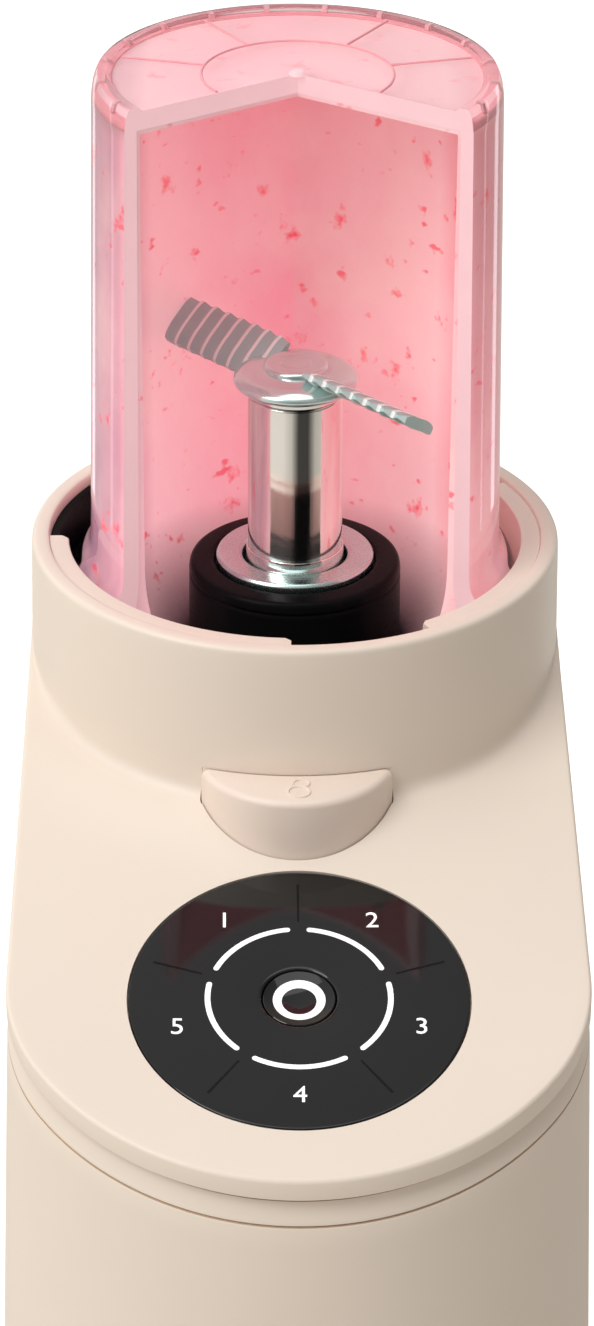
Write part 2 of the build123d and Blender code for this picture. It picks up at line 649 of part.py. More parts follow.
with BuildPart() as board_components:
    face_y = BOARD_Y - 2.6
    for x, low, high, width, depth in (
        (-18, 34, 60, 26, 18), (18, 36, 58, 14, 12), (16, 70, 92, 20, 9), (-20, 72, 90, 16, 8),
        (-18, 98, 112, 22, 6), (14, 100, 116, 12, 5),
    ):
        brick((width, depth), low, high, (x, face_y - depth / 2))
    for x, z in ((2, 44), (-2, 66), (30, 64)):
        with BuildSketch(Plane(origin=(x, AXIS_Y + face_y, z), z_dir=(0, -1, 0))):
            Circle(4.2)
        extrude(amount=13)
keep("board_components", board_components)

with BuildPart() as power_inlet:
    inlet_y = REAR_R + BASE_GROW - 4.6
    brick((23.4, 18), 22.3, 39.7, (0, inlet_y - 9))
    brick((17, 12), 26, 36, (0, inlet_y - 2), mode=Mode.SUBTRACT)
    for side in (-1, 1):
        brick((1.6, 9), 30, 32.4, (side * 4.3, inlet_y - 6))
keep("power_inlet", power_inlet)

# ---- base ----
with BuildPart() as base_plate:
    with BuildSketch(level(FOOT_HEIGHT)):
        add(body_plan(BASE_GROW - WALL - 0.4))
    extrude(amount=3.5)
    for place in BOSSES:
        post(2.1, FOOT_HEIGHT, 9, place, mode=Mode.SUBTRACT)
        post(4.0, FOOT_HEIGHT, FOOT_HEIGHT + 1.8, place, mode=Mode.SUBTRACT)
    for row in range(7):
        brick((50, 3), FOOT_HEIGHT - 1, 10, (0, -20 + row * 7), mode=Mode.SUBTRACT)
keep("base_plate", base_plate)

with BuildPart() as base_screws:
    for place in BOSSES:
        post(3.8, FOOT_HEIGHT + 0.2, FOOT_HEIGHT + 1.8, place)
        post(1.9, FOOT_HEIGHT + 1.8, 24, place)
keep("base_screws", base_screws)

with BuildPart() as feet:
    for place in ((-36, 38), (36, 38), (-34, -118), (34, -118)):
        turn(
            (0, 0), (8, 0), (9, 1), (9, FOOT_HEIGHT), (0, FOOT_HEIGHT), offset=place,
        )
keep("feet", feet)

os.makedirs("parts", exist_ok=True)
for name, piece in PIECES.items():
    export_step(piece.part, f"parts/{name}.step")
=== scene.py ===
from math import acos, atan2, copysign, cos, degrees, hypot, pi, radians, sin, sqrt, tan

import bmesh
import bpy
from mathutils import Matrix, Vector


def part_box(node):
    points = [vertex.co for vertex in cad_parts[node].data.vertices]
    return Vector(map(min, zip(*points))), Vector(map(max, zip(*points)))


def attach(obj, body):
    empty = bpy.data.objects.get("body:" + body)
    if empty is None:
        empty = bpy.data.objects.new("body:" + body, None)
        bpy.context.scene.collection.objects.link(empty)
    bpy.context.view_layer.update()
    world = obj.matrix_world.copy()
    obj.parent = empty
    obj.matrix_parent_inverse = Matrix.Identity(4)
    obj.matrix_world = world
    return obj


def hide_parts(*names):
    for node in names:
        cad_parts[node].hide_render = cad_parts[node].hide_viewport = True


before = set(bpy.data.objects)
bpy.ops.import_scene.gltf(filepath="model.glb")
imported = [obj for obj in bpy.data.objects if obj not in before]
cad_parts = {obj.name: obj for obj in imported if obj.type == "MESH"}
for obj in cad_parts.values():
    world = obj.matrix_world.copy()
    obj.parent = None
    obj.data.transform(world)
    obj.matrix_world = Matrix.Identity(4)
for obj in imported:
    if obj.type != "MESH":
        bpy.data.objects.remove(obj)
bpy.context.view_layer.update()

MM = 0.001
ring_low, ring_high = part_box("retaining_ring")
AXIS = (ring_low + ring_high) / 2
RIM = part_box("top_cover")[1].z
FLOOR = -RIM / MM  # table, from the rim

# ---- body ----
COLLAR_R = 57.5
WALL_TOP = -1.5  # where the collar's wall meets its rounded rim
FOOT_R = 57.9  # collar where it meets the deck
REAR_R = 58.0
FRONT_REACH = 152.06
HALF_WIDTH = 59.6
FRONT_R = 63.7
CORNER_R = 41.5
BODY_DRAFT = 0.0366
WALL = 2.6
DECK_SLOPE = radians(15.9)
DECK_DROP = 23.3
DECK_THICK = 3.0
EDGE_R = 0.8  # round on the deck's edge
LIP_DROP = 4.55
PARTING_DROP = 10.97
COVE_DEPTH = 1.5
GROOVE_DEPTH = 1.6  # slot behind the lip, from the cove
FOOT_HEIGHT = 5.0
RIM_INNER = 53.6
FILLET = 2.8  # where the collar meets the deck
SWELL = 3.0  # rise of the deck in front of the collar
SWELL_REACH = 18.0
SWELL_AZIMUTH = radians(58)
SKIRT_LOW = -46.0
SKIRT_R = 55.1

# ---- vents and inlet in the back, heights from the table ----
VENT_ROWS = 7
VENT_LOW = 85.75
VENT_PITCH = 8
VENT_HALF = 1.75
INLET_MIDDLE = 31
INLET_HALF = (12, 9)

# ---- bayonet ----
LEDGE_DROP = 0.8
LEDGE_R = 49.4
LEDGE_CORNER = 1.1
NOTCH_ANGLE = 33.0
NOTCH_CENTRES = (-75.0, 45.0, 165.0)

# ---- panel ----
PANEL_R = 34.8
PANEL_REACH = 105.97
DISH_R = 7.4
PRINT_Z = 0.05  # face of the glass, and of the print on it
PROGRAMS = 5
ARC_INNER, ARC_OUTER = 18.0, 19.15
ARC_HALF = 29  # half of a program's arc, in degrees
LINE_INNER, LINE_OUTER = 20.8, 31.2
NUMERAL_REACH = 25.9
NUMERAL_SIZE = 6.0

# ---- jar ----
JAR_TOP = 105.95
JAR_R = 42.85
JAR_LOW_R = 44.6
JAR_WALL = 3.0
JAR_BASE = 5.0
NECK_TOP = -11.5
NECK_LOW = -28.4
NECK_R = 42.0
RIB_Z = JAR_TOP - 0.85
RIB_R = 0.3
RIB_RING = 20
RIB_OFFSETS = (-75, -31, 31, 75)  # degrees from the back
TICKS = 14
CUT_HALF = 55.7  # half of the wedge cut out of the jar, in degrees

# ---- column and blade ----
COLUMN_R = 10.3
COLUMN_TOP = 33.0
PLATE_Z = -121.0  # the flange under the column
CAP_Z = 34.9
BLADE_Z = CAP_Z + 2.7
BLADE_R = 38.5
BLADE_ANGLE = -47.4
BLADE_PITCH = radians(-30)
BLADE_WIDTH = 11.6
BLADE_THICK = 1.5
BLADE_SKEW = 0.9  # the leading edge reaches this much further than the middle
ARM_START = 6.0
ARM_END = BLADE_R - 0.7
RIDGES = 7
RIDGE_HEIGHT = 0.6
RIDGE_RISE = 0.72  # share of a ridge's pitch on its gentle side

# ---- release button ----
BUTTON_TOP = -29.07
BUTTON_LOW = -60.0
BUTTON_FRONT = -69.8
BUTTON_HALF = 20.5
BUTTON_CHORD = -54.3
BUTTON_EDGE = 1.5
GAP = 0.3
LOCK_CENTRE = (0.3, -65.0)
LOCK_R = 2.3
SHACKLE_R = 1.7
LOCK_LINE = 0.28

# ---- camera, fitted to the photograph ----
LENS = 115.38
CAMERA_AT = (-11.27, -834.28, 410.61)
CAMERA_AHEAD = (0.012593, 0.882816, -0.469550)
CAMERA_RIGHT = (0.999921, -0.011247, 0.005671)

# ---- derived ----
SLOPE = tan(DECK_SLOPE)
CORNER_X = HALF_WIDTH - CORNER_R
FRONT_C = FRONT_R - FRONT_REACH
CORNER_Y = FRONT_C - sqrt((FRONT_R - CORNER_R) ** 2 - CORNER_X**2)
FRONT_HALF = degrees(atan2(CORNER_X, FRONT_C - CORNER_Y))
SIDE_LEAN = degrees(
    acos((REAR_R - CORNER_R) / hypot(CORNER_X, CORNER_Y)) + atan2(CORNER_Y, CORNER_X)
)
PARTING_FRONT = -DECK_DROP - SLOPE * FRONT_REACH - PARTING_DROP
FOOT_Z = FLOOR + FOOT_HEIGHT
BASE_GROW = BODY_DRAFT * (PARTING_FRONT - FOOT_Z) - 0.05
SAGITTA = BUTTON_CHORD - BUTTON_FRONT
BUTTON_R = (BUTTON_HALF**2 + SAGITTA**2) / (2 * SAGITTA)
BUTTON_C = BUTTON_FRONT + BUTTON_R
PANEL_ORIGIN = (0, -PANEL_REACH, -DECK_DROP - SLOPE * PANEL_REACH)
WEDGE_START = -90 + CUT_HALF
WEDGE_SWEEP = 360 - 2 * CUT_HALF


def place(x, y, z):
    """A point in the frame, from millimetres about the column's axis and the rim."""
    return Vector((AXIS.x + x * MM, AXIS.y + y * MM, RIM + z * MM))


def around(radius, angle, z):
    """A point in the frame, at a radius and an angle in degrees about the column."""
    turn = radians(angle)
    return place(radius * cos(turn), radius * sin(turn), z)


def on_panel(x, y, z):
    """A point in the frame, from millimetres across, up and out of the panel's face."""
    up = (cos(DECK_SLOPE), sin(DECK_SLOPE))
    return place(
        PANEL_ORIGIN[0] + x,
        PANEL_ORIGIN[1] + y * up[0] - z * up[1],
        PANEL_ORIGIN[2] + y * up[1] + z * up[0],
    )


def smooth(t):
    """0 to 1 with level ends."""
    t = min(max(t, 0.0), 1.0)
    return t * t * (3 - 2 * t)


def mix(a, b, t):
    """The value a share t of the way from a to b."""
    return a + (b - a) * t


# ======== materials ========
def node(tree, kind, **values):
    """A shader node with its inputs set by name."""
    made = tree.nodes.new(kind)
    for name, value in values.items():
        made.inputs[name.replace("_", " ")].default_value = value
    return made


def ramp(tree, source, stops):
    """A colour ramp over a socket's value."""
    made = tree.nodes.new("ShaderNodeValToRGB")
    made.color_ramp.elements[0].position, made.color_ramp.elements[0].color = stops[0]
    made.color_ramp.elements[1].position, made.color_ramp.elements[1].color = stops[-1]
    for position, color in stops[1:-1]:
        made.color_ramp.elements.new(position).color = color
    tree.links.new(source, made.inputs["Fac"])
    return made.outputs["Color"]


def shade(color, amount):
    """A colour made lighter or darker, with its alpha."""
    return tuple(min(c * amount, 1.0) for c in color[:3]) + (1.0,)


def own_coordinates(tree):
    """The piece's own coordinates, which are the frame's and stay with it when it moves."""
    return tree.nodes.new("ShaderNodeTexCoord").outputs["Object"]


def noise_of(tree, scale, detail=3.0, stretch=(1, 1, 1), roughness=0.55):
    """Noise over the piece's own coordinates, scale in repeats per metre."""
    mapping = node(tree, "ShaderNodeMapping", Scale=stretch)
    tree.links.new(own_coordinates(tree), mapping.inputs["Vector"])
    made = node(tree, "ShaderNodeTexNoise", Scale=scale, Detail=detail, Roughness=roughness)
    tree.links.new(mapping.outputs["Vector"], made.inputs["Vector"])
    return made.outputs["Fac"]


def blank(name):
    """A new material, its node tree and its Principled shader."""
    made = bpy.data.materials.new(name)
    made.use_nodes = True
    return made, made.node_tree, made.node_tree.nodes["Principled BSDF"]


def emboss(tree, source, strength, distance):
    """Relief on a material from a socket's values."""
    relief = node(tree, "ShaderNodeBump", Strength=strength, Distance=distance)
    tree.links.new(source, relief.inputs["Height"])
    tree.links.new(relief.outputs["Normal"], tree.nodes["Principled BSDF"].inputs["Normal"])


def object_parts(tree):
    """The x, y and z of the piece's own coordinates."""
    parts = tree.nodes.new("ShaderNodeSeparateXYZ")
    tree.links.new(own_coordinates(tree), parts.inputs["Vector"])
    return parts.outputs


def ranged(tree, source, low, high, start=0.3, end=0.7):
    """A socket's values from start to end, spread from low to high."""
    made = node(tree, "ShaderNodeMapRange", From_Min=start, From_Max=end, To_Min=low, To_Max=high)
    tree.links.new(source, made.inputs["Value"])
    return made.outputs["Result"]


def blended(tree, amount, under, color):
    """A colour laid over a colour socket, as much as the socket amount says."""
    made = node(tree, "ShaderNodeMix")
    made.data_type = "RGBA"
    made.inputs[7].default_value = color
    tree.links.new(amount, made.inputs[0])
    tree.links.new(under, made.inputs[6])
    return made.outputs[2]


def surface(
    name, color, rough=0.5, metallic=0.0, vary=0.04, patch=30, grain=1500, bump=0.05,
    stretch=(1, 1, 1), **fixed
):
    """A Principled material whose colour, roughness and relief all come from noise."""
    made, tree, shader = blank(name)
    shader.inputs["Metallic"].default_value = metallic
    for socket, value in fixed.items():
        shader.inputs[socket.replace("_", " ")].default_value = value
    stops = [(0.3, shade(color, 1 - vary)), (0.5, shade(color, 1)), (0.7, shade(color, 1 + vary))]
    tree.links.new(ramp(tree, noise_of(tree, patch), stops), shader.inputs["Base Color"])
    fine = noise_of(tree, grain, 2.0, stretch)
    tree.links.new(ranged(tree, fine, rough * 0.85, rough * 1.15), shader.inputs["Roughness"])
    emboss(tree, fine, bump, 0.0002)
    return made


def turned(name, color, rough, pitch):
    """Metal with fine rings left by a lathe, about the column's axis."""
    made = surface(name, color, rough, 1.0, 0.05, 60, 2500, 0.03)
    tree = made.node_tree
    centred = node(tree, "ShaderNodeVectorMath")
    centred.operation = "SUBTRACT"
    centred.inputs[1].default_value = (AXIS.x, AXIS.y, 0)
    tree.links.new(own_coordinates(tree), centred.inputs[0])
    rings = node(tree, "ShaderNodeTexWave", Scale=pitch, Distortion=0.6, Detail=3.0)
    rings.wave_type = "RINGS"
    rings.rings_direction = "Z"
    tree.links.new(centred.outputs["Vector"], rings.inputs["Vector"])
    emboss(tree, rings.outputs["Fac"], 0.15, 0.0001)
    return made


def banded_reflection(name, dark, light, rough):
    """Polished tube with painted reflections: soft dark and light bands along its length, at fixed places
    round it.
    """
    made = surface(name, light, rough, 0.9, 0.02, 40, 900, 0.02)
    tree = made.node_tree
    # painted reflection: the phase sets where the dark band falls round the tube
    streaks = node(tree, "ShaderNodeTexWave", Scale=23.0, Distortion=0.4, Detail=1.0, Phase_Offset=-0.7)
    streaks.bands_direction = "X"
    tree.links.new(own_coordinates(tree), streaks.inputs["Vector"])
    stops = [(0.05, dark + (1,)), (0.3, shade(light, 0.75)), (0.7, light + (1,))]
    tones = ramp(tree, streaks.outputs["Fac"], stops)
    tree.links.new(tones, tree.nodes["Principled BSDF"].inputs["Base Color"])
    return made


def clear(name, tint, rough):
    """Clear moulded plastic with moulding streaks, tinted lavender and pale as painted reflections of
    lamps. It bends light and lets lamps through to the mix.
    """
    made, tree, shader = blank(name)
    flow_and_reflection_streaks = noise_of(tree, 150, 1.5, (1, 1, 0.02))
    # the streaks are real; their lavender and pale tints are painted reflections of lamps
    tints = [(0.38, (0.80, 0.75, 0.86, 1)), (0.5, tint), (0.62, (1, 0.94, 0.96, 1))]
    # no streaks in the flat bottom, which is on top here
    above = ranged(tree, object_parts(tree)["Z"], 0, 1, RIM + 98 * MM, RIM + 103 * MM)
    tree.links.new(blended(tree, above, ramp(tree, flow_and_reflection_streaks, tints), tint), shader.inputs["Base Color"])
    shader.inputs["Transmission Weight"].default_value = 1.0
    shader.inputs["IOR"].default_value = 1.47
    tree.links.new(ranged(tree, noise_of(tree, 90), rough * 0.6, rough * 1.6), shader.inputs["Roughness"])
    emboss(tree, noise_of(tree, 60, 2.0, (1, 1, 0.08)), 0.25, 0.0006)
    through = node(tree, "ShaderNodeBsdfTransparent", Color=(0.96, 0.93, 0.93, 1))
    rays = tree.nodes.new("ShaderNodeLightPath")
    both = tree.nodes.new("ShaderNodeMixShader")
    tree.links.new(rays.outputs["Is Shadow Ray"], both.inputs["Fac"])
    tree.links.new(shader.outputs["BSDF"], both.inputs[1])
    tree.links.new(through.outputs["BSDF"], both.inputs[2])
    tree.links.new(both.outputs["Shader"], tree.nodes["Material Output"].inputs["Surface"])
    return made


def frozen(name):
    """Pink fruit ice with red flecks and streaks, pale on top. Its colour has painted shade, deepest just
    left of the axis, a painted shadow by the hub, and a painted glow.
    """
    made, tree, shader = blank(name)
    parts = object_parts(tree)
    across = ranged(tree, parts["X"], 0, 1, -0.042, 0.042)
    # painted shade across the cut faces: deepest just left of the axis, paler outwards on both sides
    stops = [
        (0.03, (0.50, 0.27, 0.34, 1)), (0.08, (0.62, 0.30, 0.37, 1)), (0.13, (0.95, 0.55, 0.60, 1)),
        (0.25, (0.92, 0.43, 0.50, 1)), (0.49, (0.88, 0.29, 0.37, 1)), (0.51, (0.82, 0.32, 0.38, 1)),
        (0.75, (0.85, 0.45, 0.48, 1)), (0.87, (0.88, 0.55, 0.57, 1)), (0.93, (0.78, 0.28, 0.33, 1)),
    ]
    shaded_across = ramp(tree, across, stops)
    clouds = ranged(tree, noise_of(tree, 45, 4.0, (1, 1, 0.6)), 0, 0.45)
    cloudy = blended(tree, clouds, shaded_across, (0.95, 0.62, 0.63, 1))
    patches = ranged(tree, noise_of(tree, 31, 5.0), 0, 0.4, 0.5, 0.8)
    creamy = blended(tree, patches, cloudy, (0.93, 0.72, 0.64, 1))
    streaks = noise_of(tree, 120, 4.0, (1, 1, 0.8), 0.6)
    streaked = blended(tree, ranged(tree, streaks, 0, 0.85, 0.63, 0.72), creamy, (0.92, 0.05, 0.10, 1))
    flecks = noise_of(tree, 210, 2.0, (1, 1, 1.3))
    flecked = blended(tree, ranged(tree, flecks, 0, 0.75, 0.66, 0.74), streaked, (0.86, 0.07, 0.11, 1))
    # painted shadow: the ice turns near black towards the bottom, by the hub
    depth = ranged(tree, parts["Z"], 1, 0, RIM - 27 * MM, RIM - 9 * MM)
    hub_shadowed = blended(tree, depth, flecked, (0.012, 0.008, 0.01, 1))
    crown = ranged(tree, parts["Z"], 0, 0.6, RIM + 99 * MM, RIM + 101 * MM)
    paled = blended(tree, crown, hub_shadowed, (0.80, 0.58, 0.60, 1))
    tree.links.new(paled, shader.inputs["Base Color"])
    # painted glow: emission in the ice's own colour, weaker towards the top, stands in for light scattered
    # through from the clear walls
    fade = ranged(tree, parts["Z"], 0, 0.55, RIM, RIM + 85 * MM)
    tree.links.new(blended(tree, fade, paled, (0, 0, 0, 1)), shader.inputs["Emission Color"])
    shader.inputs["Emission Strength"].default_value = 0.55
    fine = noise_of(tree, 700, 3.0)
    tree.links.new(ranged(tree, fine, 0.38, 0.6), shader.inputs["Roughness"])
    emboss(tree, fine, 0.2, 0.0004)
    return made


BEIGE = (0.86, 0.75, 0.65)
slot_looks = (
    surface("shell", BEIGE, 0.42, vary=0.012, patch=18, grain=2600),
    surface("shell_inner", shade(BEIGE, 0.98), 0.45, vary=0.012, grain=2600),
    surface("button", (0.87, 0.735, 0.645), 0.4, vary=0.012, grain=2600, bump=0.04),
    surface("black_plastic", (0.006, 0.006, 0.0065), 0.3, vary=0.2, grain=3000, Specular_IOR_Level=0.04),
    surface("rubber", (0.02, 0.02, 0.02), 0.8, vary=0.2, grain=1800, bump=0.3),
    surface("aluminium", (0.75, 0.76, 0.77), 0.32, 1.0, 0.06, 40, 900, 0.1, (1, 12, 1)),
    surface("steel", (0.58, 0.58, 0.59), 0.25, 1.0, 0.06, 50, 1400, 0.08, (1, 1, 8)),
    turned("brushed_steel", (0.56, 0.74, 0.73), 0.26, 420),
    surface("brass", (0.55, 0.36, 0.14), 0.4, 1.0, 0.1, 80, 1600, 0.15),
    surface("motor_metal", (0.46, 0.47, 0.48), 0.35, 1.0, 0.08, 60, 900, 0.12),
    surface("panel", (0.006, 0.006, 0.0065), 0.07, vary=0.1, patch=50, grain=500, bump=0.0),
    surface("diffuser", (0.86, 0.86, 0.84), 0.5, vary=0.03),
    surface("board", (0.02, 0.16, 0.06), 0.45, vary=0.2, patch=260, grain=900, bump=0.2),
    surface("components", (0.06, 0.06, 0.07), 0.5, vary=0.35, patch=70, grain=1200, bump=0.15),
    frozen("mix"),
    surface("seal_silicone", (0.6, 0.6, 0.6), 0.5, vary=0.04),
    surface("chrome", (0.86, 0.85, 0.83), 0.09, 1.0, 0.02, 40, 800, 0.01),
    surface("blade_steel", (0.42, 0.59, 0.575), 0.42, 0.12, 0.06, 60, 500, 0.02),
    surface("magnet", (0.08, 0.08, 0.085), 0.7, vary=0.2, grain=1500, bump=0.3),
    surface("copper", (0.5, 0.22, 0.09), 0.35, 1.0, 0.2, 300, 1500, 0.3, (1, 1, 12)),
    clear("jar", (0.95, 0.88, 0.90, 1), 0.05),
)
# by slot; Blender adds a number to names that the imported materials have already
LOOKS = {look.name.split(".")[0]: look for look in slot_looks}
# painted shade: a darker brown for the slot behind the lip and the parting line
SEAM_SHADE = surface("shell_seam_shade", (0.54, 0.38, 0.26), 0.7, vary=0.012, grain=2600)
# painted reflection on the column's chrome
TUBE_METAL = banded_reflection("tube_banded_reflection", (0.07, 0.07, 0.07), (0.90, 0.89, 0.86), 0.08)
# painted highlight for the crests of the blade's ridges
CREST_HIGHLIGHT = surface("blade_crest_highlight", (0.86, 0.93, 0.91), 0.35, 0.12, 0.04, 60, 500, 0.02)
CAP_METAL = surface("cap_metal", (0.66, 0.80, 0.785), 0.13, 0.75, 0.04, 50, 900, 0.02)
# painted glow: emission brightens the jar's cut faces and the gate mark
FROSTED = surface(
    "jar_cut_face", (0.46, 0.31, 0.33), 0.5, 0.0, 0.05, 120, 2200, 0.25,
    Emission_Strength=0.66, Emission_Color=(0.85, 0.52, 0.55, 1),
)
RIB_PINK = surface("mix_in_ribs", (0.90, 0.38, 0.43), 0.5, vary=0.08, patch=200)
TICK_PINK = surface("rim_tick", (0.80, 0.45, 0.48), 0.5, vary=0.08, patch=200)
PRINT = surface(
    "print_white", (0.93, 0.93, 0.93), 0.45, vary=0.02, Emission_Strength=0.35, Emission_Color=(1, 1, 1, 1)
)
DIVIDER = surface("print_grey", (0.003, 0.003, 0.003), 0.3, vary=0.1, Specular_IOR_Level=0.2)


def dress_cad():
    """Give every CAD node the material of its slot in the record."""
    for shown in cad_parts.values():
        if shown.material_slots:
            look = LOOKS[shown.material_slots[0].material.name.split(".")[0]]
            for slot in shown.material_slots:
                slot.link = "OBJECT"
                slot.material = look


# ======== mesh building ========
def placed(name, data):
    """A new object in the scene."""
    made = bpy.data.objects.new(name, data)
    bpy.context.scene.collection.objects.link(made)
    return made


def closed_mesh(name, shape, drop_thin):
    """A mesh with its doubled points merged and its faces turned outwards."""
    points, faces = shape
    mesh = bpy.data.meshes.new(name)
    mesh.from_pydata([tuple(p) for p in points], [], faces)
    work = bmesh.new()
    work.from_mesh(mesh)
    bmesh.ops.remove_doubles(work, verts=work.verts, dist=1e-7)
    if drop_thin:
        bmesh.ops.dissolve_degenerate(work, edges=work.edges, dist=1e-7)
    bmesh.ops.recalc_face_normals(work, faces=work.faces)
    work.to_mesh(mesh)
    work.free()
    return mesh


def piece(name, shape, body, slot, look=None, sharp=32.0, extra=(), replaces=""):
    """A mesh from (points, faces) in the frame, on a body, in place of a CAD node if one is named.

    It gets its slot's look unless another is given. extra are more looks, for some of its faces.
    """
    mesh = closed_mesh(name, shape, True)
    for material in (look or LOOKS[slot], *extra):
        mesh.materials.append(material)
    made = placed(name, mesh)
    finish_shading(mesh, sharp)
    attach(made, body)
    if replaces:
        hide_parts(replaces)
    return made


def finish_shading(mesh, sharp=32.0):
    """Smooth shading, split where faces meet at more than sharp degrees."""
    mesh.polygons.foreach_set("use_smooth", [True] * len(mesh.polygons))
    mesh.set_sharp_from_angle(angle=radians(sharp))
    mesh.update()


def bridged(rings, closed=False):
    """Faces between rings of equal length. closed joins the last ring to the first."""
    count = len(rings[0])
    faces = []
    for ring in range(len(rings) if closed else len(rings) - 1):
        low = ring * count
        high = ((ring + 1) % len(rings)) * count
        for i in range(count):
            j = (i + 1) % count
            faces.append((low + i, low + j, high + j, high + i))
    return faces


def flat(rings):
    """The points of all rings in one list."""
    return [point for ring in rings for point in ring]


def capped(rings):
    """Points and faces of rings bridged in a row, with both ends closed."""
    count = len(rings[0])
    last = (len(rings) - 1) * count
    faces = bridged(rings)
    faces.append(tuple(reversed(range(count))))
    faces.append(tuple(range(last, last + count)))
    return flat(rings), faces


def soft(corners, steps=4):
    """A closed outline of (a, b, radius) corners, each rounded by its radius."""
    made = []
    for index, (a, b, radius) in enumerate(corners):
        here = Vector((a, b))
        if radius <= 0:
            made.append((a, b))
            continue
        before = Vector(corners[index - 1][:2]) - here
        after = Vector(corners[(index + 1) % len(corners)][:2]) - here
        reach = min(radius, 0.48 * before.length, 0.48 * after.length)
        start = here + before.normalized() * reach
        end = here + after.normalized() * reach
        for step in range(steps + 1):
            t = step / steps
            point = start * (1 - t) ** 2 + here * 2 * t * (1 - t) + end * t**2
            made.append((point.x, point.y))
    return made


def lathe(profile, count=128, to=place, start=0.0, sweep=360.0):
    """Points and faces of a closed (radius, height) outline turned about the axis of to."""
    whole = sweep >= 360.0
    rings = []
    for i in range(count if whole else count + 1):
        angle = radians(start + sweep * i / count)
        rings.append([to(r * cos(angle), r * sin(angle), z) for r, z in profile])
    return (flat(rings), bridged(rings, closed=True)) if whole else capped(rings)


def tube(path, radius, closed=False, sides=6):
    """Points and faces of a round bead that follows points in the frame."""
    rings = []
    count = len(path)
    side = None
    for i, here in enumerate(path):
        before = path[i - 1] if i or closed else here
        after = path[(i + 1) % count] if i < count - 1 or closed else here
        along = (after - before).normalized()
        if side is None:
            side = along.orthogonal().normalized()
        else:
            side = (side - along * side.dot(along)).normalized()
        up = along.cross(side)
        turns = [2 * pi * k / sides for k in range(sides)]
        rings.append([here + (side * cos(t) + up * sin(t)) * radius * MM for t in turns])
    return (flat(rings), bridged(rings, closed=True)) if closed else capped(rings)


def joined(*parts):
    """Several (points, faces) pairs as one."""
    points, faces = [], []
    for more_points, more_faces in parts:
        offset = len(points)
        points.extend(more_points)
        faces.extend(tuple(offset + i for i in face) for face in more_faces)
    return points, faces


def evaluated(thing):
    """A copy of an object's mesh as its curve or its modifiers make it."""
    bpy.context.view_layer.update()
    seen = thing.evaluated_get(bpy.context.evaluated_depsgraph_get())
    return bpy.data.meshes.new_from_object(seen)


def cut(made, *tools):
    """Take solids, given as (points, faces), out of a finished piece."""
    for shape in tools:
        tool = placed("cutter", closed_mesh("cutter", shape, False))
        change = made.modifiers.new("cut", "BOOLEAN")
        change.operation = "DIFFERENCE"
        change.solver = "EXACT"
        change.object = tool
        result = evaluated(made)
        made.modifiers.clear()
        made.data = result
        bpy.data.objects.remove(tool)
    finish_shading(made.data)


# ======== body: cover and housing ========
def plan_samples():
    """Points of the body's plan outline with outward normals, counter-clockwise from the right."""
    samples = []

    def arc(x, y, radius, start, sweep, count):
        for i in range(count):
            angle = radians(start + sweep * i / count)
            normal = (cos(angle), sin(angle))
            samples.append((x + radius * normal[0], y + radius * normal[1], *normal))

    def side(normal, first, last, count):
        """A straight run, its points evenly spaced round the column."""
        reach = first[0] * normal[0] + first[1] * normal[1]
        turn_from = atan2(first[1], first[0])
        turn_to = atan2(last[1], last[0])
        if abs(turn_to - turn_from) > pi:
            turn_to += copysign(2 * pi, turn_from - turn_to)
        for i in range(count):
            angle = mix(turn_from, turn_to, i / count)
            ray = (cos(angle), sin(angle))
            length = reach / (ray[0] * normal[0] + ray[1] * normal[1])
            samples.append((ray[0] * length, ray[1] * length, *normal))

    lean = radians(SIDE_LEAN)
    right = (cos(lean), sin(lean))
    left = (-right[0], right[1])
    rear_end = (REAR_R * left[0], REAR_R * left[1])
    rear_start = (REAR_R * right[0], REAR_R * right[1])
    left_end = (-CORNER_X + CORNER_R * left[0], CORNER_Y + CORNER_R * left[1])
    right_end = (CORNER_X + CORNER_R * right[0], CORNER_Y + CORNER_R * right[1])
    arc(0, 0, REAR_R, SIDE_LEAN, 180 - 2 * SIDE_LEAN, 120)
    side(left, rear_end, left_end, 48)
    arc(-CORNER_X, CORNER_Y, CORNER_R, 180 - SIDE_LEAN, 90 - FRONT_HALF + SIDE_LEAN, 56)
    arc(0, FRONT_C, FRONT_R, 270 - FRONT_HALF, 2 * FRONT_HALF, 48)
    arc(CORNER_X, CORNER_Y, CORNER_R, 270 + FRONT_HALF, 90 - FRONT_HALF + SIDE_LEAN, 56)
    side(right, right_end, rear_start, 48)
    return samples


PLAN = plan_samples()


def swell(x, y):
    """How far the deck rises above its plane in front of the collar."""
    reach = hypot(x, y) - FOOT_R
    azimuth = atan2(abs(x), -y)
    if azimuth >= SWELL_AZIMUTH or reach >= SWELL_REACH:
        return 0.0
    spread = smooth(1.45 * (1 - azimuth / SWELL_AZIMUTH))
    return SWELL * spread * (1 - smooth(reach / SWELL_REACH))


def deck_z(y):
    """Height of the deck's plane."""
    return -DECK_DROP + SLOPE * y


def outline_ring(grow, drop):
    """The plan outline grown by grow, drop below the deck's plane."""
    ring = []
    for x, y, nx, ny in PLAN:
        gx, gy = x + nx * grow, y + ny * grow
        ring.append(place(gx, gy, deck_z(gy) - drop))
    return ring


def on_ray(x, y, radius):
    """The point at a radius from the column's axis, on the ray through (x, y)."""
    reach = hypot(x, y)
    return x * radius / reach, y * radius / reach


def fillet_at(x, y):
    """Size of the fillet at the collar's foot, on the ray to an outline point."""
    return min(FILLET, 0.45 * max(hypot(x, y) - FOOT_R, 0.15))


def edge_at(x, y):
    """Size of the round on the deck's edge, at an outline point."""
    return min(EDGE_R, 0.4 * max(hypot(x, y) - FOOT_R, 0.15))


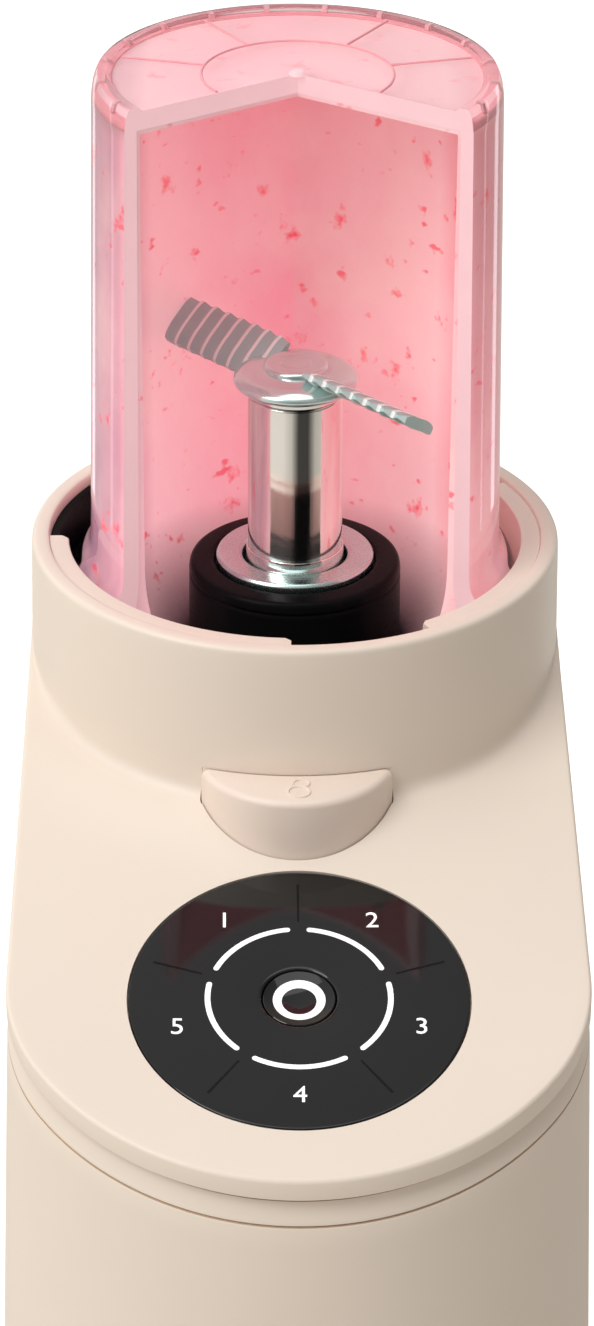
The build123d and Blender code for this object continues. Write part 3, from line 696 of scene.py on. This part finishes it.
def wall_point(x, y, t):
    """A point down the collar's outside, t from its rim to the fillet."""
    fx, fy = on_ray(x, y, FOOT_R)
    z = mix(WALL_TOP, deck_z(fy) + swell(fx, fy) + fillet_at(x, y), t)
    radius = mix(COLLAR_R, FOOT_R, min(1.0, -z / DECK_DROP)) if z < 0 else COLLAR_R
    return place(*on_ray(x, y, radius), z)


def fillet_point(x, y, t):
    """A point on the fillet, t from the wall to the deck."""
    size = fillet_at(x, y)
    px, py = on_ray(x, y, FOOT_R + size * t**2)
    return place(px, py, deck_z(py) + swell(px, py) + size * (1 - t) ** 2)


def deck_point(x, y, nx, ny, t):
    """A point on the deck, t from the fillet to the round of the edge."""
    edge = edge_at(x, y)
    sx, sy = on_ray(x, y, FOOT_R + fillet_at(x, y))
    px, py = mix(sx, x - nx * edge, t), mix(sy, y - ny * edge, t)
    return place(px, py, deck_z(py) + swell(px, py))


def edge_point(x, y, nx, ny, angle):
    """A point on the round of the deck's edge."""
    edge = edge_at(x, y)
    grow = -edge * (1 - sin(angle))
    px, py = x + nx * grow, y + ny * grow
    return place(px, py, deck_z(py) - edge * (1 - cos(angle)))


def cover_rings():
    """The cover's skin as closed rings, and which of them is the first in the slot behind the lip.

    They run up inside the collar, over its rim, down to the deck, round the lip and down the cove.
    """
    rings = [outline_ring(-WALL - COVE_DEPTH, DECK_THICK)]
    room = WALL + COVE_DEPTH + 0.2
    skirt = [on_ray(x, y, min(SKIRT_R, hypot(x, y) - room)) for x, y, _, _ in PLAN]
    rings.append([place(x, y, deck_z(y) - DECK_THICK) for x, y in skirt])
    rings.append([place(x, y, SKIRT_LOW) for x, y in skirt])
    rim = (
        (RIM_INNER, SKIRT_LOW), (RIM_INNER, -1.6), (RIM_INNER, -0.95), (53.66, -0.6), (53.85, -0.25),
        (54.2, -0.06), (54.7, 0.0), (55.6, 0.0), (56.4, -0.01), (56.9, -0.14), (57.25, -0.45),
        (57.44, -0.9), (COLLAR_R, WALL_TOP),
    )
    for radius, z in rim:
        rings.append([place(*on_ray(x, y, radius), z) for x, y, _, _ in PLAN])
    for step in range(1, 11):
        rings.append([wall_point(x, y, step / 10) for x, y, _, _ in PLAN])
    for step in range(1, 7):
        rings.append([fillet_point(x, y, step / 6) for x, y, _, _ in PLAN])
    # close together where the swell runs out above the panel
    for t in (0.05, 0.1, 0.115, 0.13, 0.16, 0.22, 0.29, 0.36, 0.44, 0.52, 0.61, 0.7, 0.8, 0.9, 0.97, 1.0):
        rings.append([deck_point(x, y, nx, ny, t) for x, y, nx, ny in PLAN])
    for angle in range(15, 91, 15):
        rings.append([edge_point(x, y, nx, ny, radians(angle)) for x, y, nx, ny in PLAN])
    for grow, drop in ((0, LIP_DROP - 0.3), (-0.06, LIP_DROP - 0.08), (-0.2, LIP_DROP)):
        rings.append(outline_ring(grow, drop))
    groove = len(rings)
    rings.append(outline_ring(-COVE_DEPTH - GROOVE_DEPTH, LIP_DROP + 0.03))
    rings.append(outline_ring(-COVE_DEPTH - GROOVE_DEPTH, LIP_DROP + 1.45))
    cove_top = LIP_DROP + 1.55
    cove_low = PARTING_DROP - 0.55
    for step in range(9):
        t = step / 8
        rings.append(outline_ring(-COVE_DEPTH + (COVE_DEPTH - 0.12) * t**1.4, mix(cove_top, cove_low, t)))
    for grow, rise in ((-0.14, 0.35), (-0.35, 0.18), (-0.7, 0.15), (-WALL - COVE_DEPTH, 0.15)):
        rings.append(outline_ring(grow, PARTING_DROP - rise))
    return rings, groove


def lens(inset, tip=0.9, count=40):
    """The release button's plan outline, moved inwards by inset, with blunt rounded tips."""
    front_r = BUTTON_R - inset
    # the back follows the collar, so it hardly moves inwards
    back_r = REAR_R + 0.05 + (inset if inset < 0 else 0.12 * inset)
    reach = BUTTON_HALF - tip - inset
    front, back = [], []
    for i in range(count + 1):
        x = mix(-reach, reach, i / count)
        front.append((x, BUTTON_C - sqrt(front_r**2 - x * x)))
        back.append((-x, -sqrt(back_r**2 - x * x)))
    ends = []
    for a, b in ((front[-1], back[0]), (back[-1], front[0])):
        middle = (a[0] + copysign(tip * 0.6, a[0]), (a[1] + b[1]) / 2)
        near_a = (mix(a[0], middle[0], 0.7), mix(a[1], middle[1], 0.3))
        near_b = (mix(b[0], middle[0], 0.7), mix(b[1], middle[1], 0.3))
        ends.append([near_a, middle, near_b])
    return front + ends[0] + back + ends[1]


def paint_seam_shade(made, first, last):
    """Give the faces between two of a shell's rings the painted shade of a slot or a parting line."""
    for index in range(first * len(PLAN), last * len(PLAN)):
        made.data.polygons[index].material_index = 1


def build_cover():
    """The deck, lip and collar in one moulding, with openings for the panel and the button."""
    rings, groove = cover_rings()
    skin = flat(rings), bridged(rings, closed=True)
    cover = piece("cover_shell", skin, "root", "shell", extra=(SEAM_SHADE,))
    # painted shade in the slot behind the lip
    paint_seam_shade(cover, groove - 1, groove + 2)
    opening = PANEL_R + 0.15
    recess = [(0, -9), (32, -9), (32, -2.1), (opening, -2.1), (opening, 2.7), (0, 2.7)]
    slot = capped([[place(x, y, z) for x, y in lens(-GAP)] for z in (-80, BUTTON_TOP + 0.02)])
    cut(cover, lathe(recess, 192, on_panel), slot)
    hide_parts("top_cover")


def build_housing():
    """The drafted side wall, its rounded edges, the vents and the inlet's window."""
    top = PARTING_DROP + 0.05

    def wall(t, grow):
        """A ring t of the way down the drafted wall."""
        ring = []
        for x, y, nx, ny in PLAN:
            spread = grow + BASE_GROW * t
            ring.append(place(x + nx * spread, y + ny * spread, mix(deck_z(y) - top, FOOT_Z, t)))
        return ring

    upper_edge = ((-WALL, 0.1), (-0.75, 0.02), (-0.4, 0.06), (-0.14, 0.2), (0.0, 0.5))
    rings = [outline_ring(grow, top + drop) for grow, drop in upper_edge]
    rings.extend(wall(t, 0.0) for t in (0.03, 0.1, 0.2, 0.3, 0.4, 0.5, 0.6, 0.7, 0.8, 0.9, 0.97))
    for grow, rise in ((0.0, 1.6), (-0.12, 0.9), (-0.5, 0.3), (-1.2, 0.0), (-WALL, 0.0)):
        spread = BASE_GROW + grow
        rings.append([place(x + nx * spread, y + ny * spread, FOOT_Z + rise) for x, y, nx, ny in PLAN])
    rings.extend(wall(t, -WALL) for t in (0.9, 0.5, 0.1))
    skin = flat(rings), bridged(rings, closed=True)
    housing = piece("housing_shell", skin, "root", "shell", extra=(SEAM_SHADE,))
    # painted shade on the housing's top edge, along the parting line
    paint_seam_shade(housing, 0, 3)
    tools = []
    for row in range(VENT_ROWS):
        half = 23 - 2 * abs(row - VENT_ROWS // 2)
        tools.append(window(half, VENT_HALF, VENT_LOW + row * VENT_PITCH, 1.7))
    tools.append(window(*INLET_HALF, INLET_MIDDLE, 2.0))
    cut(housing, joined(*tools))
    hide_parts("main_housing")


def window(half, half_height, height, radius):
    """A rounded window through the back wall, its middle at a height above the table."""
    low, high = FLOOR + height - half_height, FLOOR + height + half_height
    corners = ((-half, low), (half, low), (half, high), (-half, high))
    outline = soft([(x, z, radius) for x, z in corners], 6)
    return capped([[place(x, y, z) for x, z in outline] for y in (REAR_R - 12, REAR_R + 14)])


# ======== bayonet ledge ========
def build_bayonet():
    """The ledge inside the collar, between its three notches, and the black liner behind them."""
    parts, liners = [], []
    gap = NOTCH_ANGLE / 2
    sweep = 120 - NOTCH_ANGLE
    steps = 60
    outer = RIM_INNER - 0.05
    for centre in NOTCH_CENTRES:
        rings = []
        for i in range(steps + 1):
            # the ledge's inner corners are rounded beside the notches
            away = min(i, steps - i) / steps * sweep * radians(1) * LEDGE_R
            short = LEDGE_CORNER - min(away, LEDGE_CORNER)
            inner = LEDGE_R + LEDGE_CORNER - sqrt(LEDGE_CORNER**2 - short**2)
            profile = soft(
                [(inner, -12, 0), (outer, -12, 0), (outer, -LEDGE_DROP, 0), (inner, -LEDGE_DROP, 0.5)], 3
            )
            rings.append([around(r, centre + gap + sweep * i / steps, z) for r, z in profile])
        parts.append(capped(rings))
        liner = soft([(52.0, -11.9, 0), (53.5, -11.9, 0), (53.5, -2.6, 0), (52.0, -2.6, 0.4)], 2)
        liners.append(lathe(liner, 24, place, centre - gap + 0.2, NOTCH_ANGLE - 0.4))
    piece("bayonet_ledge", joined(*parts), "root", "shell", replaces="bayonet_ring")
    piece("notch_liners", joined(*liners), "root", "black_plastic")


# ======== release button ========
def arc_path(centre, radius, start, end, count, z):
    """Points of a level arc, its angles in degrees."""
    path = []
    for i in range(count + 1):
        turn = radians(mix(start, end, i / count))
        path.append(place(centre[0] + radius * cos(turn), centre[1] + radius * sin(turn), z))
    return path


def build_button():
    """The release button with its rounded top edge, and the open padlock on it."""
    rings = [[place(x, y, z) for x, y in lens(0)] for z in (BUTTON_LOW, -44, -36)]
    for angle in range(0, 91, 15):
        turn = radians(angle)
        z = BUTTON_TOP - BUTTON_EDGE * (1 - sin(turn))
        rings.append([place(x, y, z) for x, y in lens(BUTTON_EDGE * (1 - cos(turn)))])
    piece("release_cap", capped(rings), "release_key", "button", replaces="release_button")
    top = BUTTON_TOP + 0.02
    body = arc_path(LOCK_CENTRE, LOCK_R, 0, 360, 32, top)[:-1]
    shackle = arc_path((LOCK_CENTRE[0] + 0.5, LOCK_CENTRE[1] + 3.5), SHACKLE_R, -60, 190, 20, top)
    icon = joined(tube(body, LOCK_LINE, True), tube(shackle, LOCK_LINE))
    piece("open_lock_mark", icon, "release_key", "button")


# ======== control panel ========
def dish(radius):
    """Height of the start button's dished face."""
    return -1.5 + 1.35 * (radius / DISH_R) ** 2.2


def panel_band(inner, outer, start, end, thick=0.05, count=24, round_ends=True):
    """A flat printed arc on the panel. Its ends are half circles if round_ends is set."""
    half = (outer - inner) / 2
    middle = (outer + inner) / 2
    edge = []
    for radius, first, last, flip in ((outer, start, end, 0.0), (inner, end, start, pi)):
        for i in range(count + 1):
            angle = radians(mix(first, last, i / count))
            edge.append((radius * cos(angle), radius * sin(angle)))
        stop = radians(last)
        for i in range(1, 8 if round_ends else 1):
            turn = stop + flip + pi * i / 8
            x = middle * cos(stop) + half * cos(turn)
            y = middle * sin(stop) + half * sin(turn)
            edge.append((x, y))
    return capped([[on_panel(x, y, PRINT_Z + z) for x, y in edge] for z in (-thick, thick)])


def numeral(text, x, y):
    """Points and faces of a numeral on the panel."""
    curve = bpy.data.curves.new("numeral", "FONT")
    curve.body = text
    curve.size = NUMERAL_SIZE
    curve.extrude = 0.04
    curve.align_x = "CENTER"
    curve.align_y = "CENTER"
    holder = placed("numeral", curve)
    mesh = evaluated(holder)
    points = [on_panel(x + v.co.x, y + v.co.y, 0.08 + v.co.z) for v in mesh.vertices]
    faces = [tuple(p.vertices) for p in mesh.polygons]
    bpy.data.objects.remove(holder)
    return points, faces


def build_panel():
    """The glass, the dished start button, and the print: ring, arcs, dividers and numerals."""
    hole, rim = DISH_R + 0.15, PANEL_R - 0.15
    glass = soft([(hole, -2.1, 0), (rim, -2.1, 0), (rim, PRINT_Z, 0.4), (hole, PRINT_Z - 0.02, 0.9)], 5)
    piece("panel_disc", lathe(glass, 192, on_panel), "root", "panel", replaces="panel_glass")
    face = [(r, dish(r)) for r in (0.0, 1, 2, 3, 4, 5, 6, 6.6, 7.0, 7.2)]
    stem = [(7.37, -0.35), (DISH_R, -0.6), (DISH_R, -4.3), (2.4, -4.3), (2.4, -6.9), (0, -6.9)]
    key = lathe(face + stem, 128, on_panel)
    piece("start_cap", key, "start_key", "panel", replaces="start_button")
    radii = [3.55, 3.9, 4.3, 4.7, 5.05, 5.35]
    band = [(r, dish(r) + 0.06) for r in radii] + [(r, dish(r) - 0.05) for r in reversed(radii)]
    piece("start_ring", lathe(band, 96, on_panel), "start_key", "diffuser", PRINT)
    step = 360 // PROGRAMS
    arcs, lines, numerals = [], [], []
    for k in range(PROGRAMS):
        middle = 54 + step * k
        arcs.append(panel_band(ARC_INNER, ARC_OUTER, middle - ARC_HALF, middle + ARC_HALF))
        line = 90 + step * k
        spread = degrees(0.26 / 28)
        lines.append(panel_band(LINE_INNER, LINE_OUTER, line - spread, line + spread, 0.03, 2, False))
        turn = radians(126 - step * k)
        x, y = NUMERAL_REACH * cos(turn), NUMERAL_REACH * sin(turn)
        numerals.append(numeral(str(k + 1), x, y))
    piece("program_arcs", joined(*arcs), "root", "diffuser", PRINT)
    piece("program_dividers", joined(*lines), "root", "panel", DIVIDER)
    piece("program_numerals", joined(*numerals), "root", "diffuser", PRINT)


# ======== jar and mix ========
def build_jar():
    """The jar upside down: a full ring at the neck, and above it a wall with the wedge left out."""
    floor, dip = JAR_TOP - JAR_BASE, JAR_TOP - 0.9
    wall = [
        (0, floor, 0), (JAR_R - JAR_WALL, floor, 0.3), (40.7, -2, 1.5), (NECK_R, -10, 0.5),
        (NECK_R, NECK_TOP, 0), (48.3, NECK_TOP, 0), (48.3, -8, 1.0), (47.5, -5.5, 2.0),
        (44.95, -2.3, 3.0), (JAR_LOW_R, 1, 2.0), (JAR_R, JAR_TOP - 4.6, 3.0), (42.4, JAR_TOP - 1.8, 1.6),
        (41.6, JAR_TOP, 0.5), (39.4, JAR_TOP, 0.4), (38.5, dip, 0.6), (0, dip, 0),
    ]
    low = JAR_TOP - 0.95
    gate = soft([(0, low, 0), (1.9, low, 0), (1.3, JAR_TOP - 0.1, 0.4), (0, JAR_TOP - 0.05, 0)])
    # the gate mark has the cut faces' look, with its painted glow
    piece("gate_mark", lathe(gate, 48), "jar_unit", "jar", FROSTED)
    skin = lathe(soft(wall, 5), 160, place, WEDGE_START, WEDGE_SWEEP)
    jar = piece("jar_clear", skin, "jar_unit", "jar", extra=(FROSTED,), replaces="jar")
    # the cut faces get the frosted look, with its painted glow
    middle = place(0, 0, 0)
    for edge in (WEDGE_START, WEDGE_START + WEDGE_SWEEP):
        turn = radians(edge)
        side = Vector((-sin(turn), cos(turn), 0))
        for polygon in jar.data.polygons:
            away = (polygon.center - middle).dot(side)
            if abs(polygon.normal.dot(side)) > 0.999 and abs(away) < 1e-5:
                polygon.material_index = 1
    neck = [(NECK_R, NECK_LOW), (45.5, NECK_LOW), (45.5, NECK_TOP), (NECK_R, NECK_TOP)]
    piece("jar_neck", lathe(neck, 128), "jar_unit", "jar")


def inside_wedge(profile):
    """An outline turned about the axis, ending just short of the jar's cut faces."""
    return lathe(profile, 160, place, WEDGE_START + 0.15, WEDGE_SWEEP - 0.3)


def build_mix():
    """The mix: a lining that the blade turns inside, heaped in the bottom behind the hub."""
    top = JAR_TOP - JAR_BASE + 0.06
    profile = [
        (0, top - 0.9, 0), (39.1, top - 0.9, 0.4), (39.1, -4, 6), (36.5, -15, 6), (28.5, -24, 5),
        (23.6, -27.5, 1.0), (23.6, -29.2, 0), (42.06, -29.2, 0), (42.06, -10, 0.5), (40.76, -2, 1.5),
        (JAR_R - JAR_WALL + 0.06, top, 0.3), (0, top, 0),
    ]
    piece("mix_lining", inside_wedge(soft(profile, 5)), "jar_unit", "mix", replaces="frozen_mix")


def build_jar_marks():
    """The ring and ribs in the jar's bottom, and the pink tint and ticks in its rim."""
    ring = arc_path((0, 0), RIB_RING, WEDGE_START + 1, WEDGE_START + WEDGE_SWEEP - 1, 80, RIB_Z)
    beads = [tube(ring, RIB_R)]
    for offset in RIB_OFFSETS:
        beads.append(tube([around(r, 90 + offset, RIB_Z) for r in (RIB_RING, 26, 32, 38)], RIB_R))
    piece("base_ribs", joined(*beads), "jar_unit", "jar", RIB_PINK)
    low, high = JAR_TOP - 4.9, JAR_TOP - 2.9
    tint = soft([(39.9, low, 0), (42.2, low, 0.8), (41.9, high, 0.8), (39.9, high, 0)])
    piece("rim_tint", inside_wedge(tint), "jar_unit", "jar", RIB_PINK)
    low, high = JAR_TOP - 2.6, JAR_TOP - 0.8
    bar = [(40.2, low), (41.6, low), (41.3, high), (40.2, high)]
    ticks = []
    for k in range(TICKS):
        angle = WEDGE_START + 9 + (WEDGE_SWEEP - 18) * k / (TICKS - 1)
        ticks.append(lathe(bar, 3, place, angle - 0.8, 1.6))
    piece("rim_ticks", joined(*ticks), "jar_unit", "jar", TICK_PINK)


# ======== hub, column, blade ========
def build_hub():
    """The black blade base with its three lugs, the steel ring on it, and the lip round the column."""
    body = [
        (12.2, -33, 0), (15, -33, 0), (15, -12, 0), (20.5, -12, 0), (20.5, -33, 0), (49, -33, 0.5),
        (49, -12, 0.5), (45.9, -12, 0.3), (45.9, -29.5, 0.3), (23.3, -29.5, 1.5), (23.2, -10.2, 0.5),
        (22.85, -9.5, 0.3), (23.25, -9.0, 0.2), (22.9, -6.7, 2.6), (18.3, -6.5, 0.6), (17.6, -7.0, 0.3),
        (17.5, -8.0, 0), (12.2, -8.0, 0),
    ]
    lug = soft([(48.5, -17.1, 0), (51.6, -17.1, 0.5), (51.6, -12.4, 0.8), (48.5, -12.4, 0)], 3)
    lugs = [lathe(lug, 24, place, centre - 15, 30) for centre in NOTCH_CENTRES]
    skin = joined(lathe(soft(body, 5), 160), *lugs)
    piece("blade_base_hub", skin, "jar_unit", "black_plastic", replaces="blade_base")
    ring = [
        (11.5, -8, 0), (17.26, -8, 0), (17.3, -5.7, 0.25), (16.7, -5.05, 0.25), (12.3, -5.05, 0.3),
        (11.5, -5.6, 0.3),
    ]
    piece("top_ring", lathe(soft(ring, 3), 160), "jar_unit", "brushed_steel", replaces="retaining_ring")
    flare = [
        (COLUMN_R + 0.05, -9, 0), (11.2, -9, 0.2), (11.2, -7.4, 1.0), (10.75, -5.2, 1.6),
        (COLUMN_R + 0.3, -3.2, 0.2), (COLUMN_R + 0.05, -3.2, 0),
    ]
    piece("column_flare", lathe(soft(flare, 4), 128), "jar_unit", "chrome", replaces="wiper_ring")


def build_column():
    """The polished column and the flange under it."""
    high = PLATE_Z + 4
    outline = [
        (7.2, PLATE_Z, 0), (16, PLATE_Z, 0.3), (16, high, 0.5), (COLUMN_R, high, 1.0),
        (COLUMN_R, COLUMN_TOP - 0.4, 0.3), (COLUMN_R - 0.4, COLUMN_TOP, 0.2), (7.2, COLUMN_TOP, 0),
    ]
    shape = lathe(soft(outline, 4), 128)
    piece("chrome_column", shape, "carriage", "chrome", TUBE_METAL, replaces="lift_column")


def build_blade():
    """Cap, boss and the two ridged arms."""
    cap = [
        (3, CAP_Z, 0), (12.6, CAP_Z, 0.5), (13.66, CAP_Z + 0.9, 1.0), (13.3, CAP_Z + 2.0, 1.2),
        (11.6, CAP_Z + 3.2, 1.5), (8.0, CAP_Z + 3.9, 1.2), (3, CAP_Z + 3.9, 0),
    ]
    piece("blade_dome", lathe(soft(cap, 5), 128), "blade_unit", "chrome", CAP_METAL, replaces="blade_cap")
    boss = [
        (0, CAP_Z + 3.5, 0), (7.1, CAP_Z + 3.5, 0), (6.9, CAP_Z + 4.6, 0.3), (6.3, CAP_Z + 5.1, 0.4),
        (3.6, CAP_Z + 5.1, 0.4), (3.0, CAP_Z + 4.8, 0.3), (0, CAP_Z + 4.8, 0),
    ]
    piece("blade_boss", lathe(soft(boss, 4), 96), "blade_unit", "chrome", CAP_METAL, replaces="cap_nut")
    arms = joined(blade_arm(BLADE_ANGLE), blade_arm(BLADE_ANGLE + 180))
    blade = piece(
        "blade_arms", arms, "blade_unit", "blade_steel", sharp=60.0, extra=(CREST_HIGHLIGHT,), replaces="blade"
    )
    # painted highlight: the ridges' crests get a lighter, glossier material
    middle = place(0, 0, 0)
    turn = radians(BLADE_ANGLE)
    half = BLADE_WIDTH / 2 * cos(BLADE_PITCH)
    for polygon in blade.data.polygons:
        away = polygon.center - middle
        along = (away.x * cos(turn) + away.y * sin(turn)) / MM
        across = (away.y * cos(turn) - away.x * sin(turn)) / MM / half
        reach = abs(along) + BLADE_SKEW * copysign(across, along * across)
        if 0.6 < ridge_phase((reach - ARM_START) / (ARM_END - ARM_START)) < 0.82:
            polygon.material_index = 1


def ridge_phase(u):
    """How far along its ridge a point is, from 0 to 1. u runs from 0 to 1 along the arm."""
    return (u * (RIDGES + 0.6)) % 1.0


def blade_arm(angle):
    """One pitched arm: a thin plate, bent along its trailing third, with ridges across it."""
    along_steps, across_steps = RIDGES * 14, 14
    turn = radians(angle)

    def point(u, v, side):
        """u runs along the arm, v from its leading edge (-1) to its trailing one (1)."""
        phase = ridge_phase(u)
        if phase < RIDGE_RISE:
            ridge = smooth(phase / RIDGE_RISE)
        else:
            ridge = smooth((1 - phase) / (1 - RIDGE_RISE))
        half = BLADE_WIDTH / 2 * mix(0.93, 1.0, smooth(u * 4))
        corner = smooth((u - 0.93) / 0.07)
        width = v * half * (1 - 0.05 * corner)
        if v < -0.98:
            width -= 0.35 * ridge
        plate = BLADE_THICK / 2 * (1 - 0.6 * abs(v) ** 6)
        crest = RIDGE_HEIGHT * ridge * (1 - 0.3 * abs(v) ** 8)
        rise = side * (plate + crest) - 0.77 * max(0.0, v - 0.35)
        slant = mix(ARM_START, ARM_END, u) - BLADE_SKEW * v
        cy = width * cos(BLADE_PITCH) - rise * sin(BLADE_PITCH)
        cz = width * sin(BLADE_PITCH) + rise * cos(BLADE_PITCH)
        return place(
            slant * cos(turn) - cy * sin(turn),
            slant * sin(turn) + cy * cos(turn),
            BLADE_Z + 0.4 + cz,
        )

    rings = []
    for i in range(along_steps + 1):
        u = i / along_steps
        upper = [point(u, mix(-1, 1, k / across_steps), 1) for k in range(across_steps + 1)]
        lower = [point(u, mix(1, -1, k / across_steps), -1) for k in range(across_steps + 1)]
        rings.append(upper + lower)
    return capped(rings)


# ======== studio ========
def build_stage():
    """A pale floor that glows for the camera alone."""
    mesh = bpy.data.meshes.new("floor")
    reach = 12.0
    corners = [(-reach, -reach, 0), (reach, -reach, 0), (reach, reach, 0), (-reach, reach, 0)]
    mesh.from_pydata(corners, [], [(0, 1, 2, 3)])
    floor = placed("floor", mesh)
    pale = surface(
        "floor_pale", (0.74, 0.70, 0.64), 0.9, vary=0.01, patch=2, grain=200, bump=0.0,
        Emission_Color=(1, 1, 1, 1),
    )
    tree = pale.node_tree
    rays = tree.nodes.new("ShaderNodeLightPath")
    glow = ranged(tree, rays.outputs["Is Camera Ray"], 0, 0.7, 0, 1)
    tree.links.new(glow, tree.nodes["Principled BSDF"].inputs["Emission Strength"])
    mesh.materials.append(pale)


def area_light(name, where, target, size, size_y, power, color=(1, 1, 1)):
    """A rectangular lamp turned towards a target."""
    lamp = bpy.data.lights.new(name, "AREA")
    lamp.shape = "RECTANGLE"
    lamp.size, lamp.size_y = size, size_y
    lamp.energy = power
    lamp.color = color
    holder = placed(name, lamp)
    holder.location = where
    holder.rotation_euler = (Vector(target) - Vector(where)).to_track_quat("-Z", "Y").to_euler()


def build_light():
    """A pale room, darker on the right and behind the camera, a key, an overhead and four strips."""
    world = bpy.data.worlds.new("studio")
    world.use_nodes = True
    tree = world.node_tree
    back = tree.nodes["Background"]
    ways = tree.nodes.new("ShaderNodeTexCoord").outputs["Generated"]
    parts = tree.nodes.new("ShaderNodeSeparateXYZ")
    tree.links.new(ways, parts.inputs["Vector"])
    front = ranged(tree, parts.outputs["Y"], 0, 1, -1.0, -0.6)
    greys = [(0.0, (0.08, 0.08, 0.08, 1)), (0.5, (0.7, 0.7, 0.7, 1)), (1.0, (1, 1, 1, 1))]
    behind = ramp(tree, front, greys)
    across = ranged(tree, parts.outputs["X"], 0, 1, -1.0, 1.0)
    warm = [(0.0, (0.93, 0.92, 0.90, 1)), (0.5, (0.66, 0.655, 0.64, 1)), (1.0, (0.16, 0.148, 0.132, 1))]
    sides = ramp(tree, across, warm)
    both = node(tree, "ShaderNodeMix", Factor=1.0)
    both.data_type = "RGBA"
    both.blend_type = "MULTIPLY"
    tree.links.new(sides, both.inputs[6])
    tree.links.new(behind, both.inputs[7])
    tree.links.new(both.outputs[2], back.inputs["Color"])
    back.inputs["Strength"].default_value = 0.95
    bpy.context.scene.world = world
    area_light("key", (-0.95, -0.75, 1.55), (0, 0, 0.2), 0.9, 1.1, 13.5, (1, 0.985, 0.96))
    area_light("overhead", (0.1, -0.2, 1.7), (0, 0, 0.2), 1.2, 1.0, 4.5)
    # thin upright strips behind, for the lines of light in the jar's wall: azimuth, width, power
    strips = ((-152, 0.05, 0.08), (-120, 0.02, 0.03), (140, 0.05, 0.10), (122, 0.012, 0.025))
    for index, (azimuth, width, power) in enumerate(strips):
        stand = around(410, azimuth - 90, -60)
        area_light(f"strip_{index}", stand, place(0, 0, -60), width, 0.5, power, (0.92, 0.94, 1))


def build_camera():
    """The photograph's viewpoint: 28 degrees down, from the front and a little to the left."""
    camera = bpy.data.cameras.new("camera")
    camera.lens = LENS
    camera.sensor_width = 36.0
    holder = placed("camera", camera)
    forward, right = Vector(CAMERA_AHEAD), Vector(CAMERA_RIGHT)
    up = right.cross(forward).normalized()
    right = forward.cross(up).normalized()
    spin = Matrix((right, up, -forward)).transposed().to_4x4()
    spin.translation = place(*CAMERA_AT)
    holder.matrix_world = spin
    bpy.context.scene.camera = holder
    bpy.context.scene.view_settings.view_transform = "Standard"


dress_cad()
build_cover()
build_housing()
build_bayonet()
build_button()
build_panel()
build_jar()
build_mix()
build_jar_marks()
build_hub()
build_column()
build_blade()
build_stage()
build_light()
build_camera()
